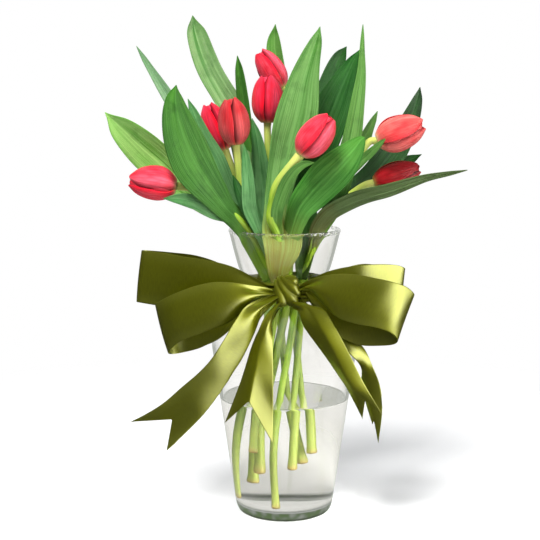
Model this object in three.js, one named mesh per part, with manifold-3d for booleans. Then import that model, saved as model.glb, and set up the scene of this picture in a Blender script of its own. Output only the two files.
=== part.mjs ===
// Eight cut tulips in a glass vase with a satin bow, in millimetres, +Z up.
// The origin is the centre of the vase's flat base. -Y is the front, where the bow is.
import * as THREE from 'three';
import { mergeVertices } from 'three/addons/utils/BufferGeometryUtils.js';
import Module from 'manifold-3d';

const wasm = await Module();
wasm.setup();

// Driving dimensions
const GAP = 0.3;              // clearance between pieces that touch
const VASE_HEIGHT = 288;
const VASE_WALL = 3;
const VASE_FLOOR = 9;         // thickness of the glass under the water
const VASE_SEGMENTS = 32;
const WATER_LEVEL = 118;
const STEM_RADIUS = 3.3;
const STEM_SIDES = 6;
const STEM_STEPS = 14;
const HOLE_CLEARANCE = 0.6;   // play of a stem's hole in the water
const BLOOM_NECK = 10;        // straight stretch of stem under a bloom
const LEAF_THICKNESS = 0.9;
const LEAF_ROWS = 9;
const BROAD_LEAF = 28;        // a leaf at least this wide gets four columns, others two
const BLOOM_GAP = 0.4;        // clearance between a stem's end and its bloom
const TEPAL_THICKNESS = 0.8;
const TEPAL_ROWS = 5;
const TEPAL_COLUMNS = 2;
const TEPAL_LAYERS = 2.2;     // how far the inner tepals lie inside the outer ones
const SEAT_SIDES = 10;        // the small seat that a bloom's tepals grow from
const RIBBON_THICKNESS = 1;

// Small helpers

function material(colour, roughness, metalness = 0) {
  return new THREE.MeshStandardMaterial({ color: colour, roughness, metalness });
}

const MATERIALS = {
  glass: material(0xdfe8e2, 0.05),
  water: material(0xe9efec, 0.05),
  leaf: material(0x4a8a3c, 0.5),
  red_petal: material(0xc81e32, 0.45),
  coral_petal: material(0xe2604f, 0.45),
  satin: material(0x8f9a1e, 0.35),
};

// A smooth row of numbers through hand-chosen ones, read at t from 0 to 1.
function smoothRow(rows, t) {
  const last = rows.length - 1;
  const place = Math.min(Math.max(t, 0), 1) * last;
  const k = Math.min(Math.floor(place), last - 1);
  const f = place - k;
  const read = (index, column) => {
    if (index < 0) return 2 * rows[0][column] - rows[1][column];
    if (index > last) return 2 * rows[last][column] - rows[last - 1][column];
    return rows[index][column];
  };
  return rows[0].map((_, c) => {
    const [p0, p1, p2, p3] = [read(k - 1, c), read(k, c), read(k + 1, c), read(k + 2, c)];
    const linear = (p2 - p0) * f;
    const square = (2 * p0 - 5 * p1 + 4 * p2 - p3) * f * f;
    const cube = (3 * p1 - p0 - 3 * p2 + p3) * f * f * f;
    return p1 + 0.5 * (linear + square + cube);
  });
}

// A closed blade of even thickness round a middle surface pointAt(u, v), u 0..1, v -1..1.
// Both faces are split along the same diagonals.
function bladeGeometry(pointAt, rows, columns, thickness) {
  const step = 0.004;
  const front = [];
  const back = [];
  for (let i = 0; i <= rows; i += 1) {
    for (let j = 0; j <= columns; j += 1) {
      const u = i / rows;
      const v = -1 + (2 * j) / columns;
      const along = pointAt(Math.min(u + step, 1), v).sub(pointAt(Math.max(u - step, 0), v));
      const across = pointAt(u, Math.min(v + step, 1)).sub(pointAt(u, Math.max(v - step, -1)));
      const normal = across.cross(along).normalize().multiplyScalar(thickness / 2);
      const middle = pointAt(u, v);
      front.push(middle.clone().add(normal));
      back.push(middle.clone().sub(normal));
    }
  }
  const count = front.length;
  const at = (i, j) => i * (columns + 1) + j;
  const triangles = [];
  const quad = (a, b, c, d) => triangles.push(a, b, c, a, c, d);
  for (let i = 0; i < rows; i += 1) {
    for (let j = 0; j < columns; j += 1) {
      const [a, b, c, d] = [at(i, j), at(i, j + 1), at(i + 1, j + 1), at(i + 1, j)];
      triangles.push(a, b, c, a, c, d);
      triangles.push(count + a, count + c, count + b, count + a, count + d, count + c);
    }
  }
  for (let i = 0; i < rows; i += 1) {
    quad(at(i, 0), at(i + 1, 0), count + at(i + 1, 0), count + at(i, 0));
    quad(at(i + 1, columns), at(i, columns), count + at(i, columns), count + at(i + 1, columns));
  }
  for (let j = 0; j < columns; j += 1) {
    quad(at(0, j + 1), at(0, j), count + at(0, j), count + at(0, j + 1));
    quad(at(rows, j), at(rows, j + 1), count + at(rows, j + 1), count + at(rows, j));
  }
  const geometry = new THREE.BufferGeometry();
  const positions = front.concat(back).flatMap((p) => [p.x, p.y, p.z]);
  geometry.setAttribute('position', new THREE.Float32BufferAttribute(positions, 3));
  geometry.setIndex(triangles);
  return geometry;
}

// A geometry as a solid, turned right side out where it was drawn inside out.
function solid(geometry) {
  const bare = geometry.clone();
  bare.deleteAttribute('normal');
  bare.deleteAttribute('uv');
  const merged = mergeVertices(bare, 1e-4);
  const vertProperties = new Float32Array(merged.attributes.position.array);
  const triVerts = new Uint32Array(merged.index.array);
  if (signedVolume(vertProperties, triVerts) < 0) {
    for (let k = 0; k < triVerts.length; k += 3) {
      [triVerts[k + 1], triVerts[k + 2]] = [triVerts[k + 2], triVerts[k + 1]];
    }
  }
  return new wasm.Manifold(new wasm.Mesh({ numProp: 3, vertProperties, triVerts }));
}

function signedVolume(positions, triangles) {
  const [a, b, c] = [new THREE.Vector3(), new THREE.Vector3(), new THREE.Vector3()];
  let volume = 0;
  for (let k = 0; k < triangles.length; k += 3) {
    a.fromArray(positions, 3 * triangles[k]);
    b.fromArray(positions, 3 * triangles[k + 1]);
    c.fromArray(positions, 3 * triangles[k + 2]);
    volume += a.dot(b.cross(c)) / 6;
  }
  return volume;
}

function geometryOf(manifold) {
  const mesh = manifold.getMesh();
  const geometry = new THREE.BufferGeometry();
  geometry.setAttribute('position', new THREE.Float32BufferAttribute(mesh.vertProperties, 3));
  geometry.setIndex(Array.from(mesh.triVerts));
  return geometry;
}

// Joins the pieces of one node. A hollow that the joining seals is filled, scraps are dropped.
function fuse(geometries) {
  const joined = geometries.map(solid).reduce((sum, piece) => sum.add(piece));
  const mesh = joined.getMesh();
  const parent = Array.from({ length: mesh.vertProperties.length / 3 }, (_, k) => k);
  const root = (k) => {
    let r = k;
    while (parent[r] !== r) {
      parent[r] = parent[parent[r]];
      r = parent[r];
    }
    return r;
  };
  for (let k = 0; k < mesh.triVerts.length; k += 3) {
    parent[root(mesh.triVerts[k])] = root(mesh.triVerts[k + 1]);
    parent[root(mesh.triVerts[k + 1])] = root(mesh.triVerts[k + 2]);
  }
  const skins = new Map();
  for (let k = 0; k < mesh.triVerts.length; k += 3) {
    const key = root(mesh.triVerts[k]);
    if (!skins.has(key)) skins.set(key, []);
    skins.get(key).push(mesh.triVerts[k], mesh.triVerts[k + 1], mesh.triVerts[k + 2]);
  }
  const sizes = [...skins.values()].map((skin) => ({
    skin,
    volume: signedVolume(mesh.vertProperties, skin),
  }));
  sizes.sort((first, second) => second.volume - first.volume);
  const geometry = new THREE.BufferGeometry();
  geometry.setAttribute('position', new THREE.Float32BufferAttribute(mesh.vertProperties, 3));
  geometry.setIndex(sizes[0].skin);
  return mergeVertices(geometry, 1e-4);
}

function pathCurve(points) {
  return new THREE.CatmullRomCurve3(points.map((p) => new THREE.Vector3(...p)), false, 'centripetal');
}

function tube(points, radius, steps = STEM_STEPS, sides = STEM_SIDES) {
  const section = new THREE.Shape();
  for (let k = 0; k < sides; k += 1) {
    const angle = (2 * Math.PI * k) / sides;
    const [x, y] = [radius * Math.cos(angle), radius * Math.sin(angle)];
    if (k === 0) section.moveTo(x, y);
    else section.lineTo(x, y);
  }
  section.closePath();
  const options = { steps, bevelEnabled: false, extrudePath: pathCurve(points), curveSegments: 1 };
  return new THREE.ExtrudeGeometry(section, options);
}

// Lathe of [radius, z] pairs about Z.
function lathe(profile, segments) {
  const points = profile.map(([r, z]) => new THREE.Vector2(r, z));
  return new THREE.LatheGeometry(points, segments).rotateX(Math.PI / 2);
}

// Vase: a flared rim over a narrow neck, a round shoulder and a taper to a thick base.
const VASE_OUTSIDE = [
  [43, 0], [46.4, 2.4], [49, 9], [65, 118], [71.4, 160], [72.6, 172], [70.6, 185], [64, 198],
  [53, 211], [44, 220.5], [40.2, 229], [42, 241], [46, 250], [51, 268], [54.6, 282.5],
];

function vaseRadius(z) {
  const rows = VASE_OUTSIDE;
  const k = rows.findIndex((row) => row[1] >= z);
  const [[r0, z0], [r1, z1]] = [rows[Math.max(k - 1, 0)], rows[Math.max(k, 1)]];
  return r0 + ((r1 - r0) * (z - z0)) / (z1 - z0);
}

function vase() {
  const rim = [[55.5, 286], [54, VASE_HEIGHT], [52, 286.5]];
  const inner = VASE_OUTSIDE.filter((_, k) => k > 2 && ![6, 8, 13].includes(k));
  const inside = inner.reverse().map(([r, z]) => [r - VASE_WALL, z]);
  const floor = [[46, 14], [42.5, VASE_FLOOR + 1], [38, VASE_FLOOR], [0, VASE_FLOOR]];
  return lathe([[0, 0], ...VASE_OUTSIDE, ...rim, ...inside, ...floor], VASE_SEGMENTS);
}

// Water up to its level inside the glass, with a plain hole round each stem.
function water() {
  const clear = VASE_WALL + GAP + 0.3;
  const bottom = VASE_FLOOR + GAP;
  const foot = [[0, bottom], [37.6, bottom], [42, bottom + 1], [45.3, 14.4]];
  const top = [[vaseRadius(WATER_LEVEL) - clear, WATER_LEVEL], [0, WATER_LEVEL]];
  let body = solid(lathe([...foot, ...top], VASE_SEGMENTS));
  TULIPS.forEach((tulip) => {
    const [end, next] = [tulip.stem[0], tulip.stem[1]].map((p) => new THREE.Vector3(...p));
    const below = end.clone().add(end.clone().sub(next).normalize());
    const hole = tube([below.toArray(), ...stemPoints(tulip).slice(1)], STEM_RADIUS + HOLE_CLEARANCE);
    body = body.subtract(solid(hole));
  });
  return geometryOf(body);
}

// A leaf along hand-chosen rows [x, y, z, width as seen from the front]. Its inner face looks to the
// front, turned sideways by turn, or towards facing. Cup lifts the edges to that side as a share of
// the half width, and wave ripples them.
function leaf({ spine, turn = 0, facing = null, cup = 0.2, wave = 0.04, waves = 2 }) {
  const middle = (u) => new THREE.Vector3(...smoothRow(spine, u).slice(0, 3));
  const look = facing ?? new THREE.Vector3(turn, -1, 0).normalize();
  const spread = Math.hypot(1, turn);
  const pointAt = (u, v) => {
    const half = Math.max((spread * smoothRow(spine, u)[3]) / 2, 1);
    const tangent = middle(Math.min(u + 0.02, 1)).sub(middle(Math.max(u - 0.02, 0))).normalize();
    const side = tangent.clone().cross(look).normalize();
    const normal = side.clone().cross(tangent);
    const channel = cup * (0.35 * Math.abs(v) + 0.65 * v * v);
    const ripple = wave * Math.sin(2 * Math.PI * waves * u + (v > 0 ? 0 : 2)) * v * v;
    return middle(u).addScaledVector(side, half * v).addScaledVector(normal, half * (channel + ripple));
  };
  const widest = Math.max(...spine.map((row) => row[3]));
  return bladeGeometry(pointAt, LEAF_ROWS, widest < BROAD_LEAF ? 2 : 4, LEAF_THICKNESS);
}

// Each tulip: its stem from the cut foot to the bloom, its leaves, and its bloom.
const UPWARD = new THREE.Vector3(0, 0.65, 0.75);
const TULIPS = [
  {
    name: 'tulip_1',
    stem: [[-36, 5, 12], [-37, 4, 60], [-31, 4, 110], [-20, -4, 168], [-9, -13, 226], [-20, -20, 258],
      [-34, -27, 287], [-58, -39, 313], [-86, -44, 328], [-102, -46, 333]],
    bloom: { tip: [-149, -50, 340], width: 33, roll: 0.2 },
    leaves: [
      { turn: 0.45, cup: -0.16,
        spine: [[-19, -19, 256, 6], [-26, -23, 272, 8], [-33, -26, 287, 9], [-46, -36, 301, 14],
          [-56, -44, 311, 20], [-66, -51, 325, 27], [-76, -58, 340, 34], [-86, -62, 357, 38],
          [-95, -65, 379, 36], [-101, -66, 401, 27], [-103, -64, 418, 15], [-102, -61, 429, 3]] },
      { cup: 0.15,
        spine: [[-25, -22, 266, 6], [-34, -27, 284, 9], [-45, -32, 299, 11], [-58, -39, 305, 14],
          [-70, -46, 311, 17], [-84, -52, 318, 15], [-99, -58, 322, 11], [-115, -64, 323, 3]] },
    ],
  },
  {
    name: 'tulip_2',
    stem: [[-20, 20, 28], [-20, 18, 70], [-19, 16, 110], [-18, 9, 168], [-17, 1, 226], [-21, 0, 258],
      [-30, -1, 287], [-42, -2, 320], [-58, -3, 364]],
    bloom: { tip: [-76, -4, 411], width: 28, roll: 0.9 },
    leaves: [
      { turn: -0.3, cup: 0.16,
        spine: [[-21, -1, 258, 6], [-31, -3, 281, 10], [-44, -4, 296, 12], [-58, -6, 303, 16],
          [-72, -7, 310, 21], [-95, -10, 328, 28], [-119, -14, 351, 35], [-138, -18, 368, 35],
          [-157, -24, 387, 25], [-173, -30, 403, 3]] },
      { turn: 0.5, cup: 0.25,
        spine: [[-22, 2, 264, 6], [-31, 13, 284, 8], [-42, 19, 297, 10], [-53, 24, 308, 13],
          [-75, 30, 344, 15], [-100, 36, 389, 15], [-121, 40, 422, 14], [-136, 42, 446, 9],
          [-149, 42, 468, 3]] },
      { turn: 0.25, cup: 0.22,
        spine: [[-22, -2, 262, 6], [-30, -9, 280, 10], [-39, -13, 292, 13], [-48, -17, 304, 16],
          [-57, -22, 328, 20], [-67, -27, 355, 20], [-77, -30, 376, 16], [-86, -32, 398, 10],
          [-93, -33, 416, 3]] },
    ],
  },
  {
    name: 'tulip_3',
    stem: [[-26, -15, 66], [-22, -12, 110], [-15, -18, 168], [-7, -24, 226], [-14, -27, 258],
      [-24, -30, 287], [-36, -30, 312], [-42, -30, 331], [-47, -31, 370]],
    bloom: { tip: [-52, -32, 417], width: 31, roll: 0.5 },
    leaves: [
      { cup: 0.2,
        spine: [[-15, -28, 260, 6], [-22, -35, 280, 7], [-29, -38, 297, 11], [-34, -40, 313, 14],
          [-35, -42, 331, 13], [-37, -42, 353, 10], [-39, -41, 372, 3]] },
      { cup: -0.15,
        spine: [[-14, -27, 257, 6], [-20, -33, 276, 6], [-27, -36, 291, 10], [-34, -38, 305, 12],
          [-42, -42, 323, 11], [-50, -44, 344, 3]] },
      { cup: 0.2,
        spine: [[-15, -26, 262, 6], [-15, -14, 280, 11], [-18, -8, 295, 15], [-21, -6, 310, 19],
          [-22, -7, 330, 20], [-24, -9, 351, 17], [-27, -9, 376, 11], [-32, -8, 397, 3]] },
    ],
  },
  {
    name: 'tulip_4',
    stem: [[13, 15, 50], [4, 16, 110], [-2, 13, 168], [-7, 10, 226], [-8, 11, 258], [-11, 10, 290],
      [-15, 8, 340], [-17, 6, 390]],
    bloom: { tip: [-17, 6, 439], width: 32, roll: 0.0 },
    leaves: [
      { turn: 0.35, cup: 0.3,
        spine: [[-8, 11, 256, 6], [-14, 12, 276, 9], [-23, 13, 292, 14], [-33, 13, 311, 20],
          [-39, 17, 350, 24], [-46, 21, 384, 25], [-54, 24, 406, 25], [-63, 27, 421, 24],
          [-74, 31, 440, 24], [-82, 35, 461, 21], [-88, 38, 482, 14], [-92, 40, 498, 3]] },
      { turn: -0.4, cup: 0.3,
        spine: [[-8, 11, 262, 6], [-14, 15, 283, 8], [-20, 19, 306, 10], [-26, 20, 330, 11],
          [-32, 19, 360, 12], [-37, 18, 389, 12], [-41, 19, 414, 12], [-44, 20, 439, 9],
          [-47, 22, 458, 3]] },
    ],
  },
  {
    name: 'tulip_5',
    stem: [[20, 6, 62], [18, 10, 110], [12, 16, 168], [5, 21, 226], [7, 27, 258], [8, 34, 287],
      [8, 40, 350], [-1, 42, 425]],
    bloom: { tip: [-26, 44, 463], width: 27, roll: 0.7 },
    leaves: [
      { turn: -0.5, cup: 0.25,
        spine: [[7, 27, 260, 6], [6, 36, 282, 10], [6, 44, 303, 12], [6, 50, 323, 14],
          [4, 58, 363, 15], [0, 67, 414, 16], [-5, 71, 447, 15], [-8, 73, 471, 10],
          [-9, 74, 491, 3]] },
      { turn: 0.5, cup: 0.35,
        spine: [[8, 28, 264, 6], [12, 34, 284, 11], [17, 40, 304, 16], [23, 48, 343, 22],
          [35, 56, 393, 26], [47, 62, 434, 24], [55, 64, 455, 16], [64, 64, 468, 3]] },
    ],
  },
  {
    name: 'tulip_6',
    stem: [[-19, -4, 42], [-18, -3, 110], [-7, -9, 168], [4, -15, 226], [0, -27, 258], [-8, -37, 287],
      [-14, -44, 302], [-12, -48, 318], [-8, -53, 335], [13, -61, 363]],
    bloom: { tip: [43, -66, 400], width: 32, roll: 0.35 },
    leaves: [
      { cup: 0.35,
        spine: [[-3, -31, 268, 6], [-7, -39, 288, 9], [-8, -46, 302, 11], [-7, -51, 314, 12],
          [-1, -56, 333, 12], [7, -62, 347, 10], [17, -66, 355, 7], [27, -70, 357, 2.5]] },
      { turn: 0.2, cup: 0.2,
        spine: [[1, -25, 252, 8], [0, -27, 266, 14], [-2, -28, 281, 23], [-7, -29, 296, 27],
          [-8, -28, 311, 25], [-6, -27, 330, 27], [-2, -26, 351, 32], [4, -24, 376, 38],
          [11, -22, 401, 40], [17, -19, 430, 31], [23, -16, 451, 22], [30, -12, 471, 12],
          [34, -8, 485, 3]] },
      { turn: -0.45, cup: -0.14,
        spine: [[0, -26, 260, 7], [4, -33, 278, 14], [8, -38, 295, 20], [14, -42, 312, 25],
          [25, -43, 326, 31], [38, -44, 340, 35], [51, -46, 353, 32], [63, -48, 366, 23],
          [71, -50, 376, 11], [75, -51, 380, 4]] },
    ],
  },
  {
    name: 'tulip_7',
    stem: [[-8, -38, 12], [-10, -33, 66], [-5, -23, 118], [5, -14, 172], [14, -5, 226], [24, -9, 258],
      [34, -12, 287], [52, -15, 325], [88, -15, 374]],
    bloom: { tip: [135, -17, 392], width: 35, roll: 0.1, petal: 'coral_petal' },
    leaves: [
      { turn: 0.5, cup: 0.2,
        spine: [[25, -10, 262, 6], [31, -15, 280, 11], [39, -20, 298, 16], [48, -24, 318, 20],
          [56, -28, 348, 23], [63, -27, 376, 20], [69, -24, 411, 14], [73, -20, 440, 9],
          [74, -17, 465, 5], [75, -14, 487, 2.5]] },
      { turn: -0.35, cup: 0.2,
        spine: [[24, -9, 259, 6], [24, -5, 278, 13], [22, -2, 295, 20], [21, 0, 312, 25],
          [27, 4, 342, 33], [37, 8, 376, 38], [49, 12, 408, 36], [59, 16, 432, 24],
          [67, 20, 450, 13], [75, 24, 464, 3]] },
      { cup: 0.15, facing: UPWARD,
        spine: [[26, -10, 264, 6], [29, -17, 278, 12], [33, -22, 291, 17], [42, -26, 303, 22],
          [54, -29, 311, 25], [67, -31, 317, 26], [82, -32, 322, 25], [97, -32, 326, 22],
          [115, -31, 332, 18], [137, -28, 339, 13], [158, -24, 343, 9], [178, -20, 347, 3]] },
      { cup: 0.2,
        spine: [[57, -15, 333, 5], [64, -20, 344, 8], [72, -24, 354, 9], [84, -30, 366, 8],
          [96, -36, 378, 3]] },
    ],
  },
  {
    name: 'tulip_8',
    stem: [[6, -11, 48], [9, -8, 110], [14, -1, 168], [19, 6, 226], [24, 11, 258], [35, 14, 287],
      [52, 14, 309], [87, 8, 332]],
    bloom: { tip: [135, 8, 348], width: 27, roll: 0.6 },
    leaves: [
      { turn: 0.4, cup: 0.18,
        spine: [[25, 11, 262, 6], [32, 16, 281, 10], [42, 20, 298, 13], [54, 23, 311, 17],
          [69, 26, 323, 22], [89, 30, 339, 27], [105, 34, 357, 29], [117, 37, 375, 26],
          [128, 39, 397, 19], [134, 40, 414, 11], [137, 40, 427, 3]] },
      { turn: 0.5, cup: 0.25,
        spine: [[25, 11, 266, 6], [33, 18, 285, 9], [42, 21, 300, 11], [51, 22, 316, 12],
          [66, 28, 345, 13], [78, 31, 370, 13], [86, 33, 387, 9], [94, 34, 403, 3]] },
      { cup: 0.2,
        spine: [[28, 12, 270, 6], [36, 19, 288, 9], [46, 22, 301, 11], [58, 25, 312, 14],
          [79, 32, 328, 18], [102, 38, 341, 18], [123, 42, 351, 13], [140, 42, 359, 3]] },
    ],
  },
];

// The stem's last stretch runs straight into its bloom.
function stemPoints(tulip) {
  const base = new THREE.Vector3(...tulip.stem.at(-1));
  const axis = new THREE.Vector3(...tulip.bloom.tip).sub(base).normalize();
  const neck = base.clone().addScaledVector(axis, -BLOOM_NECK);
  return [...tulip.stem.slice(0, -1), neck.toArray(), base.toArray()];
}

function leafyStem(tulip) {
  return fuse([tube(stemPoints(tulip), STEM_RADIUS), ...tulip.leaves.map(leaf)]);
}

// Bloom: a closed bud of three outer and three inner tepals on a small seat. Radius and half
// width are shares of the bud's radius, at even steps from the base to the tip.
const BUD_RADIUS = [[0.24], [0.72], [0.97], [1], [0.9], [0.68], [0.26]];
const TEPAL_HALF_WIDTH = [[0.2], [0.62], [0.88], [0.94], [0.84], [0.56], [0.06]];

function tepal(length, radius, angle, { start, end, layer }) {
  const pointAt = (u, v) => {
    const height = start + (end - start) * u;
    const rho = radius * smoothRow(BUD_RADIUS, height)[0] - layer;
    const half = (radius - layer) * smoothRow(TEPAL_HALF_WIDTH, height)[0];
    const turn = angle + (v * half) / rho;
    return new THREE.Vector3(rho * Math.cos(turn), rho * Math.sin(turn), BLOOM_GAP + height * length);
  };
  return bladeGeometry(pointAt, TEPAL_ROWS, TEPAL_COLUMNS, TEPAL_THICKNESS);
}

function bloom(tulip) {
  const base = new THREE.Vector3(...tulip.stem.at(-1));
  const axis = new THREE.Vector3(...tulip.bloom.tip).sub(base);
  const length = axis.length();
  const radius = tulip.bloom.width / 2 - TEPAL_THICKNESS / 2;
  const outer = { start: 0.05, end: 1, layer: 0 };
  const inner = { start: 0.12, end: 0.95, layer: TEPAL_LAYERS };
  const pieces = [];
  for (let k = 0; k < 6; k += 1) {
    pieces.push(tepal(length, radius, (k * Math.PI) / 3, k % 2 ? inner : outer));
  }
  const seat = [[0, 0], [STEM_RADIUS, 0], [0.43 * radius, 1.5], [0.6 * radius, 4.5]];
  seat.push([0.5 * radius, 8], [0, 9]);
  pieces.push(lathe(seat.map(([r, z]) => [r, z + BLOOM_GAP]), SEAT_SIDES));
  const place = new THREE.Matrix4().compose(
    base,
    new THREE.Quaternion().setFromUnitVectors(new THREE.Vector3(0, 0, 1), axis.normalize()),
    new THREE.Vector3(1, 1, 1),
  );
  const roll = new THREE.Matrix4().makeRotationZ(tulip.bloom.roll);
  return fuse(pieces).applyMatrix4(place.multiply(roll));
}

// Ribbon: each strip is a sheet over three hand-chosen rails, its two edges and its middle line.
const RIBBON_STRIPS = {
  ribbon_loop_left_front: {
    rows: 18,
    low: [[-11.8, -57, 228], [-26, -66, 224], [-35, -72, 219], [-54, -78, 206], [-78, -81, 198],
      [-99, -79, 190], [-112, -70, 179], [-113, -60, 173], [-102, -51, 172], [-82, -46, 176],
      [-61, -47, 186], [-40, -47, 206], [-16, -45, 228]],
    mid: [[-11.6, -57.5, 231], [-28, -69, 233], [-42, -76, 232], [-62, -83, 227], [-84, -86, 220],
      [-106, -83, 212], [-120, -72, 201], [-123, -60, 197], [-110, -48, 200], [-88, -46, 206],
      [-64, -45, 213], [-42, -45, 223], [-16, -44, 231]],
    high: [[-11.8, -57, 234], [-28, -66, 240], [-46, -72, 245], [-67, -78, 246], [-86, -81, 242],
      [-106, -79, 234], [-122, -70, 225], [-127, -60, 221], [-117, -52, 223], [-92, -50, 231],
      [-66, -48, 237], [-44, -46, 239], [-16, -45, 235]],
  },
  ribbon_loop_left_back: {
    rows: 18,
    low: [[-17, -42, 229], [-34, -41, 223], [-54, -40, 216], [-77, -42, 214], [-100, -41, 215],
      [-121, -38, 216], [-139, -33, 218], [-145, -25, 218], [-138, -18, 218], [-118, -15, 218],
      [-90, -15, 218], [-64, -18, 220], [-46, -26, 224], [-31, -33, 229]],
    mid: [[-17, -43, 233], [-35, -43, 236], [-55, -42, 238], [-78, -43, 240], [-102, -41, 241],
      [-124, -38, 243], [-142, -33, 244], [-148, -24, 244], [-140, -15, 244], [-118, -12, 243],
      [-90, -13, 241], [-66, -18, 240], [-49, -26, 238], [-31, -34, 234]],
    high: [[-17, -42, 237], [-34, -42, 247], [-53, -42, 256], [-77, -43, 262], [-98, -42, 265],
      [-116, -38, 268], [-134, -32, 269], [-140, -24, 269], [-132, -17, 268], [-112, -14, 266],
      [-88, -14, 263], [-66, -20, 257], [-50, -28, 249], [-31, -36, 239]],
  },
  ribbon_loop_right_front: {
    rows: 18,
    low: [[14.2, -58.2, 232], [22, -66, 232], [34, -74, 223], [47, -80, 212], [63, -82, 207],
      [82, -81, 204], [98, -77, 198], [107, -70, 189], [104, -64, 183], [88, -61, 181],
      [70, -61, 182], [50, -61, 190], [34, -57, 206], [18, -50, 231]],
    mid: [[14.2, -58.7, 235], [24, -69, 240], [37, -79, 238], [53, -87, 233], [72, -90, 229],
      [93, -88, 224], [110, -81, 216], [118, -71, 208], [112, -61, 204], [94, -56, 204],
      [72, -55, 207], [52, -54, 213], [36, -52, 222], [18, -49, 234]],
    high: [[13.8, -58.2, 238], [25, -66, 246], [39, -74, 252], [58, -80, 254], [80, -81, 251],
      [101, -77, 246], [115, -71, 240], [123, -64, 231], [114, -57, 229], [95, -54, 231],
      [74, -53, 235], [54, -52, 239], [37, -51, 241], [18, -49, 238]],
  },
  ribbon_loop_right_back: {
    rows: 18,
    low: [[18, -41, 230], [32, -41, 224], [50, -41, 216], [70, -41, 211], [90, -39, 207],
      [106, -35, 204], [115, -28, 203], [112, -20, 204], [98, -15, 207], [78, -15, 212],
      [60, -20, 218], [46, -27, 223], [31, -34, 229]],
    mid: [[18, -42, 234], [34, -42, 235], [52, -43, 235], [72, -43, 233], [92, -40, 231],
      [110, -36, 228], [119, -28, 227], [115, -18, 228], [100, -12, 230], [80, -12, 233],
      [62, -18, 236], [48, -27, 237], [32, -35, 234]],
    high: [[18, -41, 238], [34, -42, 248], [52, -43, 254], [72, -43, 257], [94, -40, 257],
      [111, -35, 255], [119, -27, 251], [114, -18, 250], [98, -13, 252], [78, -13, 254],
      [62, -19, 252], [48, -28, 248], [32, -36, 239]],
  },
  ribbon_tail_left_outer: {
    rows: 14,
    low: [[-9, -60.4, 232], [-33, -82, 226], [-46, -88, 213], [-59, -91, 192], [-70, -91, 175],
      [-82, -90, 162], [-97, -88, 149], [-115, -85, 133], [-133, -81, 121], [-147, -77, 112]],
    mid: [[-8.7, -60.9, 228.5], [-27, -83, 219], [-37, -89, 205], [-50, -93, 184], [-61, -93, 165],
      [-72, -91, 150], [-84, -88, 134], [-93, -85, 125], [-101, -82, 119], [-107, -80, 115]],
    high: [[-8.5, -60.3, 225], [-20, -80, 213], [-26, -86, 202], [-37, -88, 178], [-50, -87, 157],
      [-63, -85, 138], [-77, -83, 119], [-90, -81, 104], [-102, -79, 91], [-113, -77, 80]],
  },
  ribbon_tail_left_inner: {
    rows: 12,
    low: [[-9, -60, 221.5], [-23, -77, 205], [-36, -79, 178], [-42, -79, 156], [-48, -77, 134],
      [-59, -73, 107]],
    mid: [[-7, -59.5, 220.3], [-17, -79, 204], [-23, -82, 178], [-26, -84, 157], [-31, -83, 142],
      [-35, -81, 132]],
    high: [[-4, -58.5, 218.8], [-10, -76, 202], [-11, -77, 176], [-11, -77, 146], [-11, -76, 117],
      [-12, -75, 89]],
  },
  ribbon_tail_right_inner: {
    rows: 12,
    low: [[4, -58.9, 219.2], [12, -71, 209], [20, -77, 198], [31, -78, 182], [47, -77, 159],
      [62, -75, 135], [72, -73, 109]],
    mid: [[8, -59.5, 220.7], [20, -77, 212], [33, -86, 199], [48, -87, 175], [62, -84, 150],
      [71, -81, 134], [76, -79, 124]],
    high: [[11, -59.5, 223.2], [29, -70, 214], [46, -73, 201], [57, -73, 183], [67, -72, 163],
      [80, -70, 140], [93, -68, 116]],
  },
  ribbon_tail_right_outer: {
    rows: 14,
    low: [[14.9, -51, 228], [36, -52, 208], [55, -51, 190], [73, -48, 180], [86, -44, 157],
      [94, -41, 138], [97, -39, 110], [93, -37, 77]],
    mid: [[14.5, -52, 225], [32, -57, 203], [50, -56, 186], [68, -51, 174], [80, -48, 151],
      [87, -46, 131], [91, -44, 112], [92, -40, 94]],
    high: [[12.8, -53, 221], [28, -61, 199], [45, -59, 181], [61, -53, 172], [72, -47, 159],
      [76, -44, 142], [85, -42, 121], [90, -39, 90]],
  },
};

function ribbonStrip({ low, mid, high, rows }) {
  const pointAt = (u, v) => {
    const [a, b, c] = [low, mid, high].map((rail) => new THREE.Vector3(...smoothRow(rail, u)));
    const bulge = 1 - v * v;
    return a.multiplyScalar((1 - v) / 2 - bulge / 2)
      .addScaledVector(c, (1 + v) / 2 - bulge / 2)
      .addScaledVector(b, bulge);
  };
  return bladeGeometry(pointAt, rows, 2, RIBBON_THICKNESS);
}

// Band: the gathered ribbon round the neck. Knot: a rounded lump with two raised wraps.
function ribbonBand() {
  const heights = [222, 236];
  const inside = heights.map((z) => [vaseRadius(z) + GAP + 0.2, z]);
  const outside = heights.map((z) => [vaseRadius(z) + GAP + 1.6, z]).reverse();
  return lathe([...inside, ...outside, inside[0]], VASE_SEGMENTS);
}

const KNOT = { centre: [1, -53.7, 233], size: [28, 19, 32] };

function ribbonKnot() {
  const geometry = new THREE.SphereGeometry(1, 16, 12);
  const point = new THREE.Vector3();
  const place = geometry.attributes.position;
  for (let k = 0; k < place.count; k += 1) {
    point.fromBufferAttribute(place, k);
    const around = Math.atan2(point.z, point.x);
    const wraps = 1 + 0.07 * Math.cos(3 * around + 2 * point.y) * (1 - point.y * point.y);
    point.multiplyScalar(wraps / 2);
    point.multiply(new THREE.Vector3(...KNOT.size)).add(new THREE.Vector3(...KNOT.centre));
    place.setXYZ(k, point.x, point.y, point.z);
  }
  return geometryOf(solid(geometry));
}

// Assembly
const group = new THREE.Group();

function add(name, geometry, finish) {
  const mesh = new THREE.Mesh(geometry, finish.clone());
  mesh.name = name;
  group.add(mesh);
}

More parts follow.
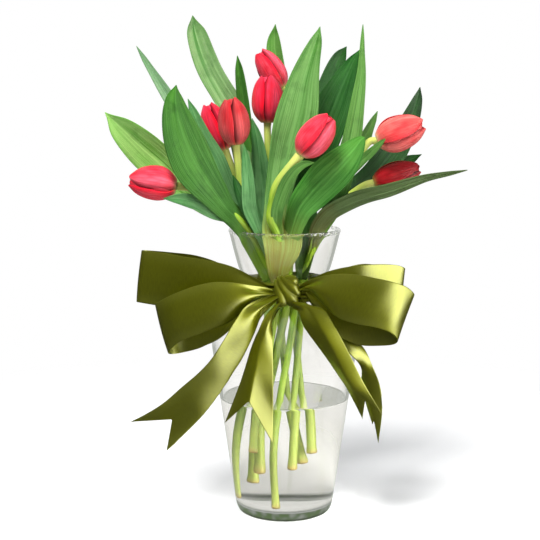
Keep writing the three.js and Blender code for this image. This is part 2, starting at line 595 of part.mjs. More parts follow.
add('vase', geometryOf(solid(vase())), MATERIALS.glass);
add('water', water(), MATERIALS.water);
TULIPS.forEach((tulip) => {
  add(`${tulip.name}_leafy_stem`, leafyStem(tulip), MATERIALS.leaf);
  add(`${tulip.name}_bloom`, bloom(tulip), MATERIALS[tulip.bloom.petal ?? 'red_petal']);
});
add('ribbon_band', geometryOf(solid(ribbonBand())), MATERIALS.satin);
add('ribbon_knot', ribbonKnot(), MATERIALS.satin);
Object.entries(RIBBON_STRIPS).forEach(([name, strip]) => {
  add(name, geometryOf(solid(ribbonStrip(strip))), MATERIALS.satin);
});

export default group;
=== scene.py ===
# %% [markdown]
# # Tulips in a glass vase with a satin bow
#
# Eight closed tulips stand in a flared glass vase that is two fifths full of water. A wide olive
# satin ribbon is tied round its neck in a bow with four loops and four tails. The plain solids of
# the same object are loaded first as a frame, and each is then dressed: smoother leaves and petals,
# clear glass and water, and pleated satin. Lengths in the tables below are in millimetres, and one
# constant turns them into Blender's metres. The front of the vase faces -Y.

# %% Load the frame
import math
import random

import bmesh
import bpy
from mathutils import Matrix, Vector


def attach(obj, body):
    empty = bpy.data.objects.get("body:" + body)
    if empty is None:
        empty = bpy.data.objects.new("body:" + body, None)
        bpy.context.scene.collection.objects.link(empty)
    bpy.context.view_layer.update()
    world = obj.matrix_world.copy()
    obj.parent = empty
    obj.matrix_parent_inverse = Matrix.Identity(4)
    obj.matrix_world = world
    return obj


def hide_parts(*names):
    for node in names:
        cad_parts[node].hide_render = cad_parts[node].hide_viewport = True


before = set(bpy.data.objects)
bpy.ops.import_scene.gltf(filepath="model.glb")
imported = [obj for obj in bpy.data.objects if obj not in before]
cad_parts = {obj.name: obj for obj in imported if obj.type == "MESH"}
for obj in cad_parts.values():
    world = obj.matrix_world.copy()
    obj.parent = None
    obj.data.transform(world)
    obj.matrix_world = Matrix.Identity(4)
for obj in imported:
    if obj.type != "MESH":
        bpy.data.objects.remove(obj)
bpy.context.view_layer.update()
MM = 0.001

# %% [markdown]
# ## Camera, floor and light
#
# The vase was photographed from a little above its middle with a long lens, about 1.3 m away. The
# tulips fill the frame's height. Lens and place come from known sizes: how wide the rim's ellipse
# looks gives the tilt, and the vase's height gives the scale.

# %% Camera
EYE = Vector((-14.5, -1300, 428)) * MM
TARGET = Vector((-14.5, 0, 246)) * MM
LENS = 87.7


def placed(name, data, place, aim):
    """A new object at a place, turned so that it looks at another."""
    thing = bpy.data.objects.new(name, data)
    thing.location = place
    thing.rotation_euler = (Vector(aim) - Vector(place)).to_track_quat("-Z", "Y").to_euler()
    bpy.context.collection.objects.link(thing)
    return thing


camera_data = bpy.data.cameras.new("camera")
camera_data.lens = LENS
bpy.context.scene.camera = placed("camera", camera_data, EYE, TARGET)
print("camera:", round((TARGET - EYE).length, 3), "m from its target")

# %% [markdown]
# Every look in this scene is a tree of shader nodes, so a few short functions come first. One makes
# a node and fills its inputs with plain values or with links from other nodes. Two more make what
# is needed most: a soft mask between two bounds, and colours laid one over another through masks.

# %% Shader nodes
def fill(tree, socket, source):
    if isinstance(source, bpy.types.NodeSocket):
        tree.links.new(source, socket)
    else:
        socket.default_value = source


def node_of(tree, kind, *sources, **settings):
    """A new node. Sources fill its inputs in order, and settings are its properties, or its
    inputs by name with _ for spaces."""
    node = tree.nodes.new("ShaderNode" + kind)
    for key, value in settings.items():
        if hasattr(node, key):
            setattr(node, key, value)
        else:
            fill(tree, node.inputs[key.replace("_", " ")], value)
    for socket, source in zip(node.inputs, sources):
        fill(tree, socket, source)
    return node


def result(tree, kind, *sources, **settings):
    """What a new node gives out: the first of its outputs that is in use."""
    return next(out for out in node_of(tree, kind, *sources, **settings).outputs if out.enabled)


def ranged(tree, value, low, high):
    """A mask that rises softly from 0 at low to 1 at high, which may be the smaller one."""
    return result(tree, "MapRange", value, low, high, interpolation_type="SMOOTHSTEP")


def layered(tree, colour, *layers):
    """Lays colours over a first one, each given with its mask and how strongly it shows."""
    for over, mask, amount in layers:
        factor = result(tree, "Math", mask, amount, operation="MULTIPLY")
        colour = result(tree, "Mix", data_type="RGBA", Factor=factor, A=colour, B=over)
    return colour


# %% [markdown]
# A product shot on white needs a bright surround, because clear glass only shows what is round it.
# The world is white to the camera and through the glass, and greyer as a source of light. Satin,
# petals and leaves mirror a dim room with one big soft window on the right, because satin only
# looks like satin where bright and dark lie side by side. Clear glass and water mirror a room of
# their own, grey below and pale above, as their thin edges would turn black otherwise. A ray that
# has already bounced off something matt sees neither the white nor that paler room, so they add no
# light. A soft light hangs above, one stands at the front right, and a weak one behind lifts the
# edges. They are not mirrored themselves, so no hard spots lie on the glass. The floor is white
# card that fades into the surround, so no horizon shows behind the flowers.

# %% Surround
WHITE = (1.0, 1.0, 1.0, 1.0)
AMBIENT = (0.32, 0.33, 0.34, 1.0)
ROOM_LOW, ROOM_HIGH = (0.02, 0.02, 0.02, 1.0), (0.1, 0.1, 0.1, 1.0)
GLASS_LOW, GLASS_HIGH = (0.44, 0.46, 0.42, 1.0), (1.0, 1.0, 0.99, 1.0)
WINDOW = (3.9, 3.8, 3.6, 1.0)
FROM_WINDOW = (-0.89, 0.434, 0.139)
WINDOW_EDGE = (0.78, 0.95)
STOP = -20.0


def white_surround():
    world = bpy.data.worlds.new("studio")
    bpy.context.scene.world = world
    world.use_nodes = True
    tree = world.node_tree
    path = node_of(tree, "LightPath").outputs
    ray = node_of(tree, "NewGeometry").outputs["Incoming"]
    height = node_of(tree, "SeparateXYZ", ray).outputs["Z"]
    toward = result(tree, "VectorMath", ray, FROM_WINDOW, operation="DOT_PRODUCT")

    def unless(wanted, *depths):
        """A mask that drops to nothing as soon as one of the given depths is 1 or more."""
        for depth in depths:
            wanted = result(tree, "Math", path[depth], STOP, wanted, operation="MULTIPLY_ADD",
                            use_clamp=True)
        return wanted

    room = layered(tree, ROOM_LOW, (ROOM_HIGH, ranged(tree, height, 0.1, -0.9), 1.0),
                   (WINDOW, ranged(tree, toward, *WINDOW_EDGE), 1.0))
    clear = layered(tree, GLASS_LOW, (GLASS_HIGH, ranged(tree, height, 0.16, -0.04), 1.0))
    seen = result(tree, "Math", path["Is Camera Ray"], path["Transmission Depth"],
                  operation="MAXIMUM")
    colour = layered(tree, AMBIENT, (room, path["Is Glossy Ray"], 1.0),
                     (clear, unless(path["Is Singular Ray"], "Diffuse Depth"), 1.0),
                     (WHITE, unless(seen, "Diffuse Depth", "Glossy Depth"), 1.0))
    fill(tree, tree.nodes["Background"].inputs["Color"], colour)


white_surround()
bpy.context.scene.view_settings.view_transform = "Standard"

# %% Lights and floor
FLOOR_RADIUS, FLOOR_DROP = 1.1, 0.5 * MM
FLOOR_FADE = (0.8, 0.28)
LIGHTS = {  # place, aim, size, power
    "top": ((-0.35, -0.85, 1.7), (0, 0, 0.3), (0.6, 0.5), 47),
    "front": ((1.1, -1.0, 0.5), (0, 0, 0.25), (0.55, 1.1), 14),
    "back": ((0.4, 1.1, 1.3), (0, 0, 0.3), (0.9, 0.9), 5),
}


def area_light(name, place, aim, size, power):
    data = bpy.data.lights.new(name, "AREA")
    data.shape = "RECTANGLE"
    data.size, data.size_y = size
    data.energy = power
    placed(name, data, place, aim).visible_glossy = False


def shader(name, **sockets):
    """A new material, its node tree and its Principled shader, with sockets set directly."""
    finish = bpy.data.materials.new(name)
    finish.use_nodes = True
    glossy = finish.node_tree.nodes["Principled BSDF"]
    for key, value in sockets.items():
        glossy.inputs[key.replace("_", " ")].default_value = value
    return finish, finish.node_tree, glossy


def pale_floor():
    mesh = bpy.data.meshes.new("floor")
    work = bmesh.new()
    bmesh.ops.create_circle(work, cap_ends=True, segments=96, radius=FLOOR_RADIUS)
    bmesh.ops.translate(work, verts=work.verts, vec=(0, 0, -FLOOR_DROP))
    work.to_mesh(mesh)
    work.free()
    finish, tree, glossy = shader("floor", Base_Color=(0.95, 0.95, 0.95, 1), Roughness=0.9)
    place = node_of(tree, "TexCoord").outputs["Object"]
    reach = result(tree, "VectorMath", place, operation="LENGTH")
    fill(tree, glossy.inputs["Alpha"], ranged(tree, reach, *FLOOR_FADE))
    mesh.materials.append(finish)
    floor = bpy.data.objects.new("floor", mesh)
    bpy.context.collection.objects.link(floor)
    floor.visible_glossy = False


pale_floor()
for name, light in LIGHTS.items():
    area_light(name, *light)
print("stage: floor, surround and", len(LIGHTS), "lights")

# %% [markdown]
# ## Surfaces from a flat grid
#
# A leaf, a petal and a ribbon are all one flat strip that was bent. So each starts as a flat grid
# with its own UV map, and every point of the grid is moved to its place in space. u runs along the
# strip from 0 to 1, and v across it from -1 to 1. The UV map stays flat, which lets veins and
# threads follow the bent surface later. Solidify gives the thickness and Subdivision rounds it.

# %% Strips and smooth rows
def smooth_row(rows, t):
    """A smooth row of numbers through given ones, read at t from 0 to 1."""
    last = len(rows) - 1
    place = min(max(t, 0.0), 1.0) * last
    k = min(int(place), last - 1)
    f = place - k
    before = rows[k - 1] if k > 0 else [2 * a - b for a, b in zip(rows[0], rows[1])]
    after = rows[k + 2] if k + 2 <= last else [2 * a - b for a, b in zip(rows[-1], rows[-2])]
    row = []
    for p0, p1, p2, p3 in zip(before, rows[k], rows[k + 1], after):
        bend = (p2 - p0) * f + (2 * p0 - 5 * p1 + 4 * p2 - p3) * f * f
        bend += (3 * p1 - p0 - 3 * p2 + p3) * f ** 3
        row.append(p1 + 0.5 * bend)
    return row


def new_work():
    work = bmesh.new()
    work.loops.layers.uv.new("flat")
    return work


def strip_mesh(work, rows, columns, point_at):
    """Adds a grid to the bmesh and moves it to point_at(u, v), in millimetres."""
    new = bmesh.ops.create_grid(work, x_segments=columns, y_segments=rows, size=1, calc_uvs=True)
    for vert in new["verts"]:
        vert.co = point_at((vert.co.y + 1) / 2, vert.co.x) * MM


def merge(work):
    """Closes the seams of a bmesh where two of its edges meet."""
    bmesh.ops.remove_doubles(work, verts=work.verts, dist=MM * MM)


def piece(name, work, finish, node, thickness=0.0, levels=1):
    """Turns a bmesh into a finished object that stands for a CAD node."""
    mesh = bpy.data.meshes.new(name)
    work.to_mesh(mesh)
    work.free()
    for polygon in mesh.polygons:
        polygon.use_smooth = True
    mesh.materials.append(finish)
    thing = bpy.data.objects.new(name, mesh)
    bpy.context.collection.objects.link(thing)
    if thickness:
        solid = thing.modifiers.new("thickness", "SOLIDIFY")
        solid.thickness = thickness * MM
        solid.offset = 0
    if levels:
        smooth = thing.modifiers.new("smooth", "SUBSURF")
        smooth.levels = levels
        smooth.render_levels = levels
    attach(thing, "root")
    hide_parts(node)
    return thing


# %% [markdown]
# ## Finishes
#
# Leaves, petals, stems and ribbon all show fine lines that run along the strip. That is one effect
# with different sizes, so it is built once as a node group: noise that is read on the flat UV map,
# squeezed hard across the strip and drawn out along it. It gives a mask of fine streaks and one of
# larger patches. Its other masks say where a point lies on the strip: near its root or tip, its
# middle or its edges. With them each kind of surface mixes its own colours, again in a group, so
# that eleven greens are one group with eleven sets of values.

# %% Groups of nodes
SURFACE = {"Colour": "Color", "Normal": "Vector"}


def grouped(name, inputs, outputs, paint):
    """A node group, from its inputs' values and its outputs' kinds. paint(tree, inputs) hands back
    what its outputs give."""
    group = bpy.data.node_groups.new(name, "ShaderNodeTree")
    for label, value in inputs.items():
        kind = "NodeSocketColor" if isinstance(value, tuple) else "NodeSocketFloat"
        group.interface.new_socket(label, in_out="INPUT", socket_type=kind).default_value = value
    for label, kind in outputs.items():
        group.interface.new_socket(label, in_out="OUTPUT", socket_type="NodeSocket" + kind)
    entry = group.nodes.new("NodeGroupInput").outputs
    leave = group.nodes.new("NodeGroupOutput").inputs
    for socket, source in zip(leave, paint(group, entry)):
        fill(group, socket, source)
    print("group:", name, len(group.nodes), "nodes")
    return group


def group_in(tree, group, **values):
    """Places a group in a tree with its own values and hands back its outputs."""
    return node_of(tree, "Group", node_tree=group, **values).outputs


def dressed(name, group, values, **sockets):
    """A finish that takes its colour and normal from a group, with its own values."""
    finish, tree, glossy = shader(name, **sockets)
    surface = group_in(tree, group, **values)
    fill(tree, glossy.inputs["Base Color"], surface["Colour"])
    fill(tree, glossy.inputs["Normal"], surface["Normal"])
    return finish


def lines_along(tree, entry):
    flat = node_of(tree, "UVMap", uv_map="flat").outputs["UV"]
    across, along, _ = node_of(tree, "SeparateXYZ", flat).outputs

    def squeezed(lines, detail):
        scale = result(tree, "CombineXYZ", lines, entry["Along"])
        stretched = result(tree, "VectorMath", flat, scale, operation="MULTIPLY")
        moved = result(tree, "VectorMath", stretched, entry["Seed"], operation="ADD")
        return result(tree, "TexNoise", moved, Scale=1.0, Detail=detail, Roughness=0.6)

    fine = squeezed(entry["Across"], 3.0)
    few = result(tree, "Math", entry["Across"], 0.08, operation="MULTIPLY")
    centred = result(tree, "Math", across, 0.5, operation="SUBTRACT")
    away = result(tree, "Math", centred, operation="ABSOLUTE")
    masks = ((fine, 0.35, 0.65), (squeezed(few, 2.0), 0.3, 0.7), (away, 0.06, 0.0),
             (away, 0.25, 0.5), (along, 0.35, 0.0), (along, 0.97, 0.7), (across, 0.3, 0.08),
             (across, 0.84, 0.98), (across, 0.2, 0.8))
    return [ranged(tree, *mask) for mask in masks]


# Shaded Half covers one half of a strip across it, where leaves and petals paint shade.
MASKS = ("Streak", "Patch", "Middle", "Edge", "Root", "Tip", "Tuck", "Proud", "Side")
LINES = grouped("lines along the strip", {"Across": 40.0, "Along": 2.0, "Seed": 0.0},
                dict.fromkeys(MASKS, "Float"), lines_along)

# %% [markdown]
# Living leaves are mottled, and glass is a little uneven. Both are noise that doesn't follow the
# strip but fills space, so it is a second group. It gives the noise as it is, for waves, and cut
# between two bounds, for spots.

# %% Spots in space
def spots_in_space(tree, entry):
    place = node_of(tree, "TexCoord").outputs["Object"]
    noise = result(tree, "TexNoise", place, Scale=entry["Scale"], Detail=entry["Detail"])
    return noise, ranged(tree, noise, entry["Low"], entry["High"])


SPOTS = grouped("spots in space", {"Scale": 60.0, "Detail": 1.0, "Low": 0.4, "High": 0.8},
                {"Noise": "Float", "Spots": "Float"}, spots_in_space)

# %% [markdown]
# A tulip leaf is smooth and waxy, with close parallel veins and no side veins. Its outer side is
# bluish from a thin bloom of wax, and its inner side is a fresher green. A paler line runs along
# its middle, its edges are a little darker, and near the root it turns yellowish. One half of the
# channel is painted darker too, as painted shade where it turns from the light. The veins fade
# toward the tip, where they would crowd together. One function makes every green from a few
# colours.

# %% Leaf finishes
def rgb(red, green, blue):
    """A screen colour, 0 to 255, as the linear one that shaders mix."""
    def linear(value):
        part = value / 255
        return part / 12.92 if part <= 0.04045 else ((part + 0.055) / 1.055) ** 2.4
    return (linear(red), linear(green), linear(blue), 1.0)


def values_of(labels, row):
    """A row of a table as a group's inputs, with its screen colours made linear."""
    return {label: rgb(*value) if isinstance(value, tuple) else value
            for label, value in zip(labels, row)}


def finishes(kind, labels, table, paint, **sockets):
    """A group that paints one kind of surface, and a finish for each row of its values."""
    rows = {name: values_of(labels, row) for name, row in table.items()}
    group = grouped(f"{kind} skin", next(iter(rows.values())), SURFACE, paint)
    print(f"{kind} finishes:", ", ".join(rows))
    return {name: dressed(f"{kind} {name}", group, row, **sockets) for name, row in rows.items()}


def power(tree, mask, exponent):
    """A mask drawn in to where it is strongest, or spread out if the exponent is under 1."""
    return result(tree, "Math", mask, exponent, operation="POWER")


def relief(tree, height, strength, distance):
    return result(tree, "Bump", Height=height, Strength=strength, Distance=distance)


def leaf_skin(tree, entry):
    """Reach under 1 carries the root's colour further up."""
    lines = group_in(tree, LINES, Across=46.0, Along=2.6, Seed=entry["Seed"])
    blots = group_in(tree, SPOTS, Scale=60.0, Detail=4.0, Low=0.5, High=0.72)["Spots"]
    specks = group_in(tree, SPOTS, Scale=700.0, Detail=2.0, Low=0.62, High=0.76)["Spots"]
    veins = result(tree, "Math", lines["Streak"], lines["Tip"], operation="MULTIPLY")
    shade = result(tree, "VectorMath", entry["Deep"], operation="SCALE", Scale=0.5)
    pale = result(tree, "VectorMath", entry["Fresh"], [1.5] * 3, [0.03] * 3,
                  operation="MULTIPLY_ADD")
    pale = result(tree, "VectorMath", pale, [1.0] * 3, operation="MINIMUM")
    root = power(tree, lines["Root"], entry["Reach"])
    # Painted shade: one half of the channel is darker, as if it turned from the light.
    colour = layered(tree, entry["Deep"], (entry["Fresh"], lines["Patch"], 0.9),
                     (shade, lines["Side"], 0.32), (shade, lines["Edge"], 0.22),
                     (pale, lines["Middle"], 0.3), (shade, blots, 0.5), (pale, specks, 0.2),
                     (entry["Root"], root, 0.8), (pale, veins, 0.34))
    return colour, relief(tree, veins, 0.5, 0.6 * MM)


GREENS = {
    "light": ((104, 176, 60), (166, 216, 116), (150, 164, 44), 0.7, 1.0),
    "fresh": ((50, 106, 28), (102, 148, 70), (132, 146, 40), 1.3, 1.0),
    "pale": ((62, 114, 46), (128, 158, 104), (114, 138, 44), 2.9, 1.0),
    "with a broad root": ((50, 106, 28), (110, 154, 82), (132, 104, 20), 6.6, 0.3),
    "green": ((32, 82, 18), (70, 124, 42), (108, 126, 36), 6.1, 1.0),
    "deep": ((18, 66, 18), (48, 98, 40), (80, 100, 36), 2.1, 1.0),
    # dark is painted shade: a darker copy of the leaf green for leaves that lie in shadow.
    "dark": ((8, 38, 10), (34, 80, 28), (20, 46, 14), 3.7, 1.0),
    "outer side": ((52, 110, 52), (106, 156, 96), (104, 134, 56), 4.9, 1.0),
    "waxy side": ((84, 126, 80), (132, 164, 124), (96, 126, 62), 7.7, 1.0),
    "at the rim": ((48, 112, 32), (90, 154, 62), (124, 120, 42), 5.5, 0.8),
    "underside": ((64, 82, 34), (108, 134, 80), (96, 84, 36), 8.3, 0.3),
}
LEAF_FINISHES = finishes(
    "leaf", ("Deep", "Fresh", "Root", "Seed", "Reach"), GREENS, leaf_skin, Roughness=0.45,
    Specular_IOR_Level=0.34, Subsurface_Weight=0.06, Subsurface_Scale=0.004,
    Subsurface_Radius=(0.5, 1.0, 0.2))

# %% [markdown]
# A stem is round and juicy and a lighter green than the leaves. It grows paler toward its lower end
# and yellow-green just under the bloom, and its cut foot is straw-coloured.

# %% Stem finish
def stem_skin(tree, _):
    lines = group_in(tree, LINES, Across=14.0, Along=7.0)
    colour = layered(tree, rgb(130, 172, 38), (rgb(186, 206, 70), lines["Streak"], 0.7),
                     (rgb(104, 156, 40), lines["Patch"], 0.5),
                     (rgb(208, 214, 122), lines["Root"], 0.55),
                     (rgb(216, 182, 120), power(tree, lines["Root"], 300.0), 0.8))
    colour = layered(tree, rgb(202, 208, 112), (colour, lines["Tip"], 1.0))
    return colour, relief(tree, lines["Streak"], 0.3, 0.4 * MM)


STEM = dressed("stem", grouped("stem skin", {}, SURFACE, stem_skin), {}, Roughness=0.36,
               Specular_IOR_Level=0.5, Subsurface_Weight=0.15, Subsurface_Scale=0.004,
               Subsurface_Radius=(0.6, 1.0, 0.2))
print("stem finish:", STEM.name)

# %% [markdown]
# A petal is satiny: pinker in broad patches, where the light grazes fine ribs, and pure red toward
# its edges. The edge that dives under the next petal is painted nearly black as shade, and one
# half of the petal is painted a little darker as shade. The edge that lies on top is a clear red
# line. The last few millimetres above the stem are pale.

# %% Petal finishes
def petal_skin(tree, entry):
    lines = group_in(tree, LINES, Across=30.0, Along=1.6, Seed=entry["Seed"])
    dark = result(tree, "VectorMath", entry["Fold"], operation="SCALE", Scale=0.3)
    fold, red = entry["Fold"], entry["Red"]
    # Painted shade: the edge tucked under the next petal is nearly black, and one half is darker.
    colour = layered(tree, entry["Pink"], (red, lines["Patch"], 0.85), (red, lines["Edge"], 0.7),
                     (fold, lines["Streak"], 0.4), (fold, lines["Side"], 0.25),
                     (red, lines["Proud"], 0.8), (dark, lines["Tuck"], 0.9),
                     (entry["Root"], power(tree, lines["Root"], 16.0), 0.7))
    return colour, relief(tree, lines["Streak"], 0.45, 0.6 * MM)


REDS = {
    "red": ((120, 0, 14), (248, 8, 38), (255, 76, 106), (206, 186, 120), 0.4),
    "rose": ((156, 0, 20), (238, 18, 46), (252, 104, 124), (220, 190, 130), 1.9),
    "brick red": ((90, 6, 12), (196, 34, 42), (222, 88, 88), (190, 130, 80), 5.2),
    "wine red": ((92, 0, 12), (180, 6, 24), (214, 50, 56), (190, 160, 80), 2.7),
    "coral": ((172, 8, 22), (228, 52, 60), (252, 128, 118), (240, 206, 150), 3.3),
}
PETAL_FINISHES = finishes(
    "petal", ("Fold", "Red", "Pink", "Root", "Seed"), REDS, petal_skin, Roughness=0.38,
    Specular_IOR_Level=0.5, Sheen_Weight=0.05, Sheen_Roughness=0.4,
    Sheen_Tint=(1.0, 0.6, 0.6, 1.0), Subsurface_Weight=0.12, Subsurface_Scale=0.004,
    Subsurface_Radius=(1.0, 0.25, 0.2))

# %% [markdown]
# Satin shines because long threads float on its face and all lie one way. Most of the shine is the
# ribbon's own olive, so the finish is nearly metallic and drawn out across the threads. A whiter,
# tighter shine lies on top of it, which is why satin goes from dark olive to almost white. A very
# fine weave runs across the strip.

# %% Satin finish
def satin_skin(tree, _):
    lines = group_in(tree, LINES, Across=8.0, Along=420.0)
    colour = layered(tree, rgb(138, 143, 6), (rgb(152, 157, 20), lines["Streak"], 1.0),
                     (rgb(196, 202, 84), lines["Edge"], 0.25))
    return colour, relief(tree, lines["Streak"], 0.12, 0.2 * MM)


SATIN = dressed("olive satin", grouped("satin skin", {}, SURFACE, satin_skin), {},
                Metallic=0.84, Roughness=0.37, Anisotropic=0.7, Specular_IOR_Level=0.0,
                Coat_Weight=1.0, Coat_IOR=1.8, Coat_Roughness=0.28)
threads = result(SATIN.node_tree, "Tangent", direction_type="UV_MAP", uv_map="flat")
fill(SATIN.node_tree, SATIN.node_tree.nodes["Principled BSDF"].inputs["Tangent"], threads)
print("satin finish:", SATIN.name)

# %% [markdown]
# The vase is thick clear glass. The outer wall of its foot is green with paler patches, because the
# glass is thickest there, and its surface is a little wavy, which makes the reflections wander. The
# rounded rim is fire polished unevenly, so it glitters. The water is clear too, with a lower index,
# and a trace of sap clouds it. Glass and water share one group, which gives the tint and the waves.

# %% Glass and water
RIM_FROM, RIM_TO = 284 * MM, 286 * MM
FOOT_INSIDE, FOOT_OUTSIDE = 38 * MM, 43 * MM
INSIDE_TINT = 0.55
WAVE_HEIGHT = 2 * MM
BLACK = (0.0, 0.0, 0.0, 1.0)


def clear_skin(tree, entry):
    place = node_of(tree, "TexCoord").outputs["Object"]
    height = node_of(tree, "SeparateXYZ", place).outputs["Z"]
    flat = result(tree, "VectorMath", place, (1, 1, 0), operation="MULTIPLY")
    reach = result(tree, "VectorMath", flat, operation="LENGTH")
    outer = result(tree, "MapRange", reach, FOOT_INSIDE, FOOT_OUTSIDE, INSIDE_TINT)
    full = result(tree, "Math", entry["Foot Top"], 0.7, operation="MULTIPLY")
    foot = result(tree, "Math", ranged(tree, height, entry["Foot Top"], full), outer,
                  operation="MULTIPLY")
    swell = group_in(tree, SPOTS, Scale=28.0)["Noise"]
    patches = group_in(tree, SPOTS, Scale=110.0)["Spots"]
    beads = group_in(tree, SPOTS, Scale=240.0)["Noise"]
    foot_tint = layered(tree, entry["Foot Tint"], (entry["Tint"], patches, 0.07))
    colour = layered(tree, entry["Tint"], (BLACK, swell, 0.02), (foot_tint, foot, 1.0))
    broad = relief(tree, swell, entry["Waves"], WAVE_HEIGHT)
    rim = result(tree, "Bump", Height=beads, Strength=ranged(tree, height, RIM_FROM, RIM_TO),
                 Distance=WAVE_HEIGHT, Normal=broad)
    return colour, rim


GLASS_VALUES = {"Tint": (0.975, 0.968, 0.948, 1.0), "Foot Tint": (0.01, 0.022, 0.004, 1.0),
                "Foot Top": 13.5 * MM, "Waves": 0.12}
WATER_VALUES = {"Tint": (0.99, 0.985, 0.972, 1.0), "Foot Tint": (0.93, 0.925, 0.89, 1.0),
                "Foot Top": 110 * MM, "Waves": 0.05}
CLEAR = grouped("thick clear wall", GLASS_VALUES, SURFACE, clear_skin)
GLASS, WATER = (
    dressed(name, CLEAR, values, Roughness=0.0, Transmission_Weight=1.0, IOR=index)
    for name, values, index in (("clear glass", GLASS_VALUES, 1.46), ("water", WATER_VALUES, 1.33)))
print("clear finishes:", GLASS.name, "and", WATER.name)

# %% [markdown]
# ## Vase and water
#
# The vase is blown glass, the same all round, so half of its section is drawn once and spun about
# the vertical axis. The section goes up the outside, over the rounded rim and down the inside to
# the thick floor. It is drawn finer than the plain solid, because every flat would show in glass.
# Here clear glass and water let the lamps through to the stems, so they cast no shadow, and they
# aren't mirrored in the satin.

# %% Spin a section
ROUND_STEPS = 96
SECTION_STEPS = 5


def spun(section):
    """A closed round shape from [radius, height] pairs that start and end on the axis."""
    work = new_work()
    verts = [work.verts.new((r * MM, 0, z * MM)) for r, z in section]
    edges = [work.edges.new(pair) for pair in zip(verts, verts[1:])]
    bmesh.ops.spin(work, geom=verts + edges, cent=(0, 0, 0), axis=(0, 0, 1), dvec=(0, 0, 0),
                   angle=2 * math.pi, steps=ROUND_STEPS, use_merge=True)
    merge(work)
    bmesh.ops.recalc_face_normals(work, faces=work.faces)
    return work


def rounded(rows):
    count = (len(rows) - 1) * SECTION_STEPS
    return [smooth_row(rows, k / count) for k in range(count + 1)]


def clear_piece(name, section, finish, node):
    thing = piece(name, spun(section), finish, node, levels=0)
    thing.visible_shadow = False
    thing.visible_glossy = False
    print(f"{node}:", len(thing.data.polygons), "faces")


# %% Vase
WALL = 3.0
FLOOR_TOP = 9.0
BELLY = [(50.5, 19), (53.9, 42), (59.6, 81), (65, 118), (68.6, 140), (71.4, 160), (72.6, 172),
         (70.6, 185), (64, 198), (53, 211), (44, 220.5), (40.2, 229), (42, 241), (46, 250),
         (51, 268)]
FOOT = [(43, 0), (46.4, 2.4), (48.8, 8.5)]
RIM = [(54.6, 282.5), (55.7, 285.2), (55.3, 287.3), (53.9, 288), (52.4, 287.2), (51.7, 284.5)]
INNER_FOOT = [(46.6, 14.5), (42.8, 10.4), (37.5, FLOOR_TOP)]

inner_belly = [(r - WALL, z) for r, z in reversed(BELLY)]
vase_section = rounded(FOOT + BELLY + RIM + inner_belly + INNER_FOOT)
clear_piece("vase_glass", [(0, 0)] + vase_section + [(0, FLOOR_TOP)], GLASS, "vase")

# %% [markdown]
# Water touches its glass. The water's side is set a hair into the wall, so no film of air is left
# between them, and light bends there as it does in a real vase. At its edge the surface climbs the
# wall by about a millimetre.

# %% Water
WATER_TOP = 118.0
WATER_EDGE = 65 - WALL
TOUCH = 0.12

wet = [(r + TOUCH, z) for r, z in reversed(inner_belly + INNER_FOOT) if z < WATER_TOP - 3]
wet += [(WATER_EDGE + TOUCH - 0.2, WATER_TOP - 1.2)]
climb = [(WATER_EDGE + TOUCH, WATER_TOP + 0.9), (WATER_EDGE - 0.7, WATER_TOP + 0.3),
         (WATER_EDGE - 2.5, WATER_TOP), (WATER_EDGE - 8, WATER_TOP), (0, WATER_TOP)]
clear_piece("water_fill", [(0, FLOOR_TOP - TOUCH)] + rounded(wet) + climb, WATER, "water")

# %% [markdown]
# ## Tulips
#
# Three tables hold the eight tulips: the points that each stem passes through from its cut foot to
# its bloom, the buds, and the leaves, where "1c" is leaf c of the first tulip. A leaf's channel is
# less than 0 if it shows its back. Its spine runs from root to tip and is a row of [x, y, z, width
# as seen from the front].

# %% Stems and buds
STEMS = {
    "tulip_1": [(-36, 5, 12), (-37, 4, 60), (-31, 4, 110), (-20, -4, 168), (-9, -13, 226),
        (-20, -20, 258), (-34, -27, 287), (-58, -39, 313), (-86, -44, 328), (-102, -46, 333)],
    "tulip_2": [(-20, 20, 28), (-20, 18, 70), (-19, 16, 110), (-18, 9, 168), (-17, 1, 226),
        (-21, 0, 258), (-30, -1, 287), (-42, -2, 320), (-58, -3, 364)],
    "tulip_3": [(-26, -15, 66), (-22, -12, 110), (-15, -18, 168), (-7, -24, 226), (-14, -27, 258),
        (-24, -30, 287), (-36, -30, 312), (-42, -30, 331), (-47, -31, 370)],
    "tulip_4": [(13, 15, 50), (4, 16, 110), (-2, 13, 168), (-7, 10, 226), (-8, 11, 258),
        (-11, 10, 290), (-15, 8, 340), (-17, 6, 390)],
    "tulip_5": [(20, 6, 62), (18, 10, 110), (12, 16, 168), (5, 21, 226), (7, 27, 258), (8, 34, 287),
        (8, 40, 350), (-1, 42, 425)],
    "tulip_6": [(-19, -4, 42), (-18, -3, 110), (-7, -9, 168), (4, -15, 226), (0, -27, 258),
        (-8, -37, 287), (-14, -44, 302), (-12, -48, 318), (-8, -53, 335), (13, -61, 363)],
    "tulip_7": [(-8, -38, 12), (-10, -33, 66), (-5, -23, 118), (5, -14, 172), (14, -5, 226),
        (24, -9, 258), (34, -12, 287), (52, -15, 325), (88, -15, 374)],
    "tulip_8": [(6, -11, 48), (9, -8, 110), (14, -1, 168), (19, 6, 226), (24, 11, 258),
        (35, 14, 287), (52, 14, 309), (87, 8, 332)],
}
BUDS = {  # tip, width, roll, finish
    "tulip_1": ((-149, -50, 340), 33, 35, "rose"),
    "tulip_2": ((-76, -4, 411), 28, -50, "red"),
    "tulip_3": ((-52, -32, 417), 31, 55, "brick red"),
    "tulip_4": ((-17, 6, 439), 32, 40, "red"),
    "tulip_5": ((-26, 44, 463), 27, -45, "rose"),
    "tulip_6": ((43, -66, 400), 32, -62, "rose"),
    "tulip_7": ((135, -17, 392), 35, -50, "coral"),
    "tulip_8": ((135, 8, 348), 27, -45, "wine red"),
}
print("tulips:", len(STEMS))

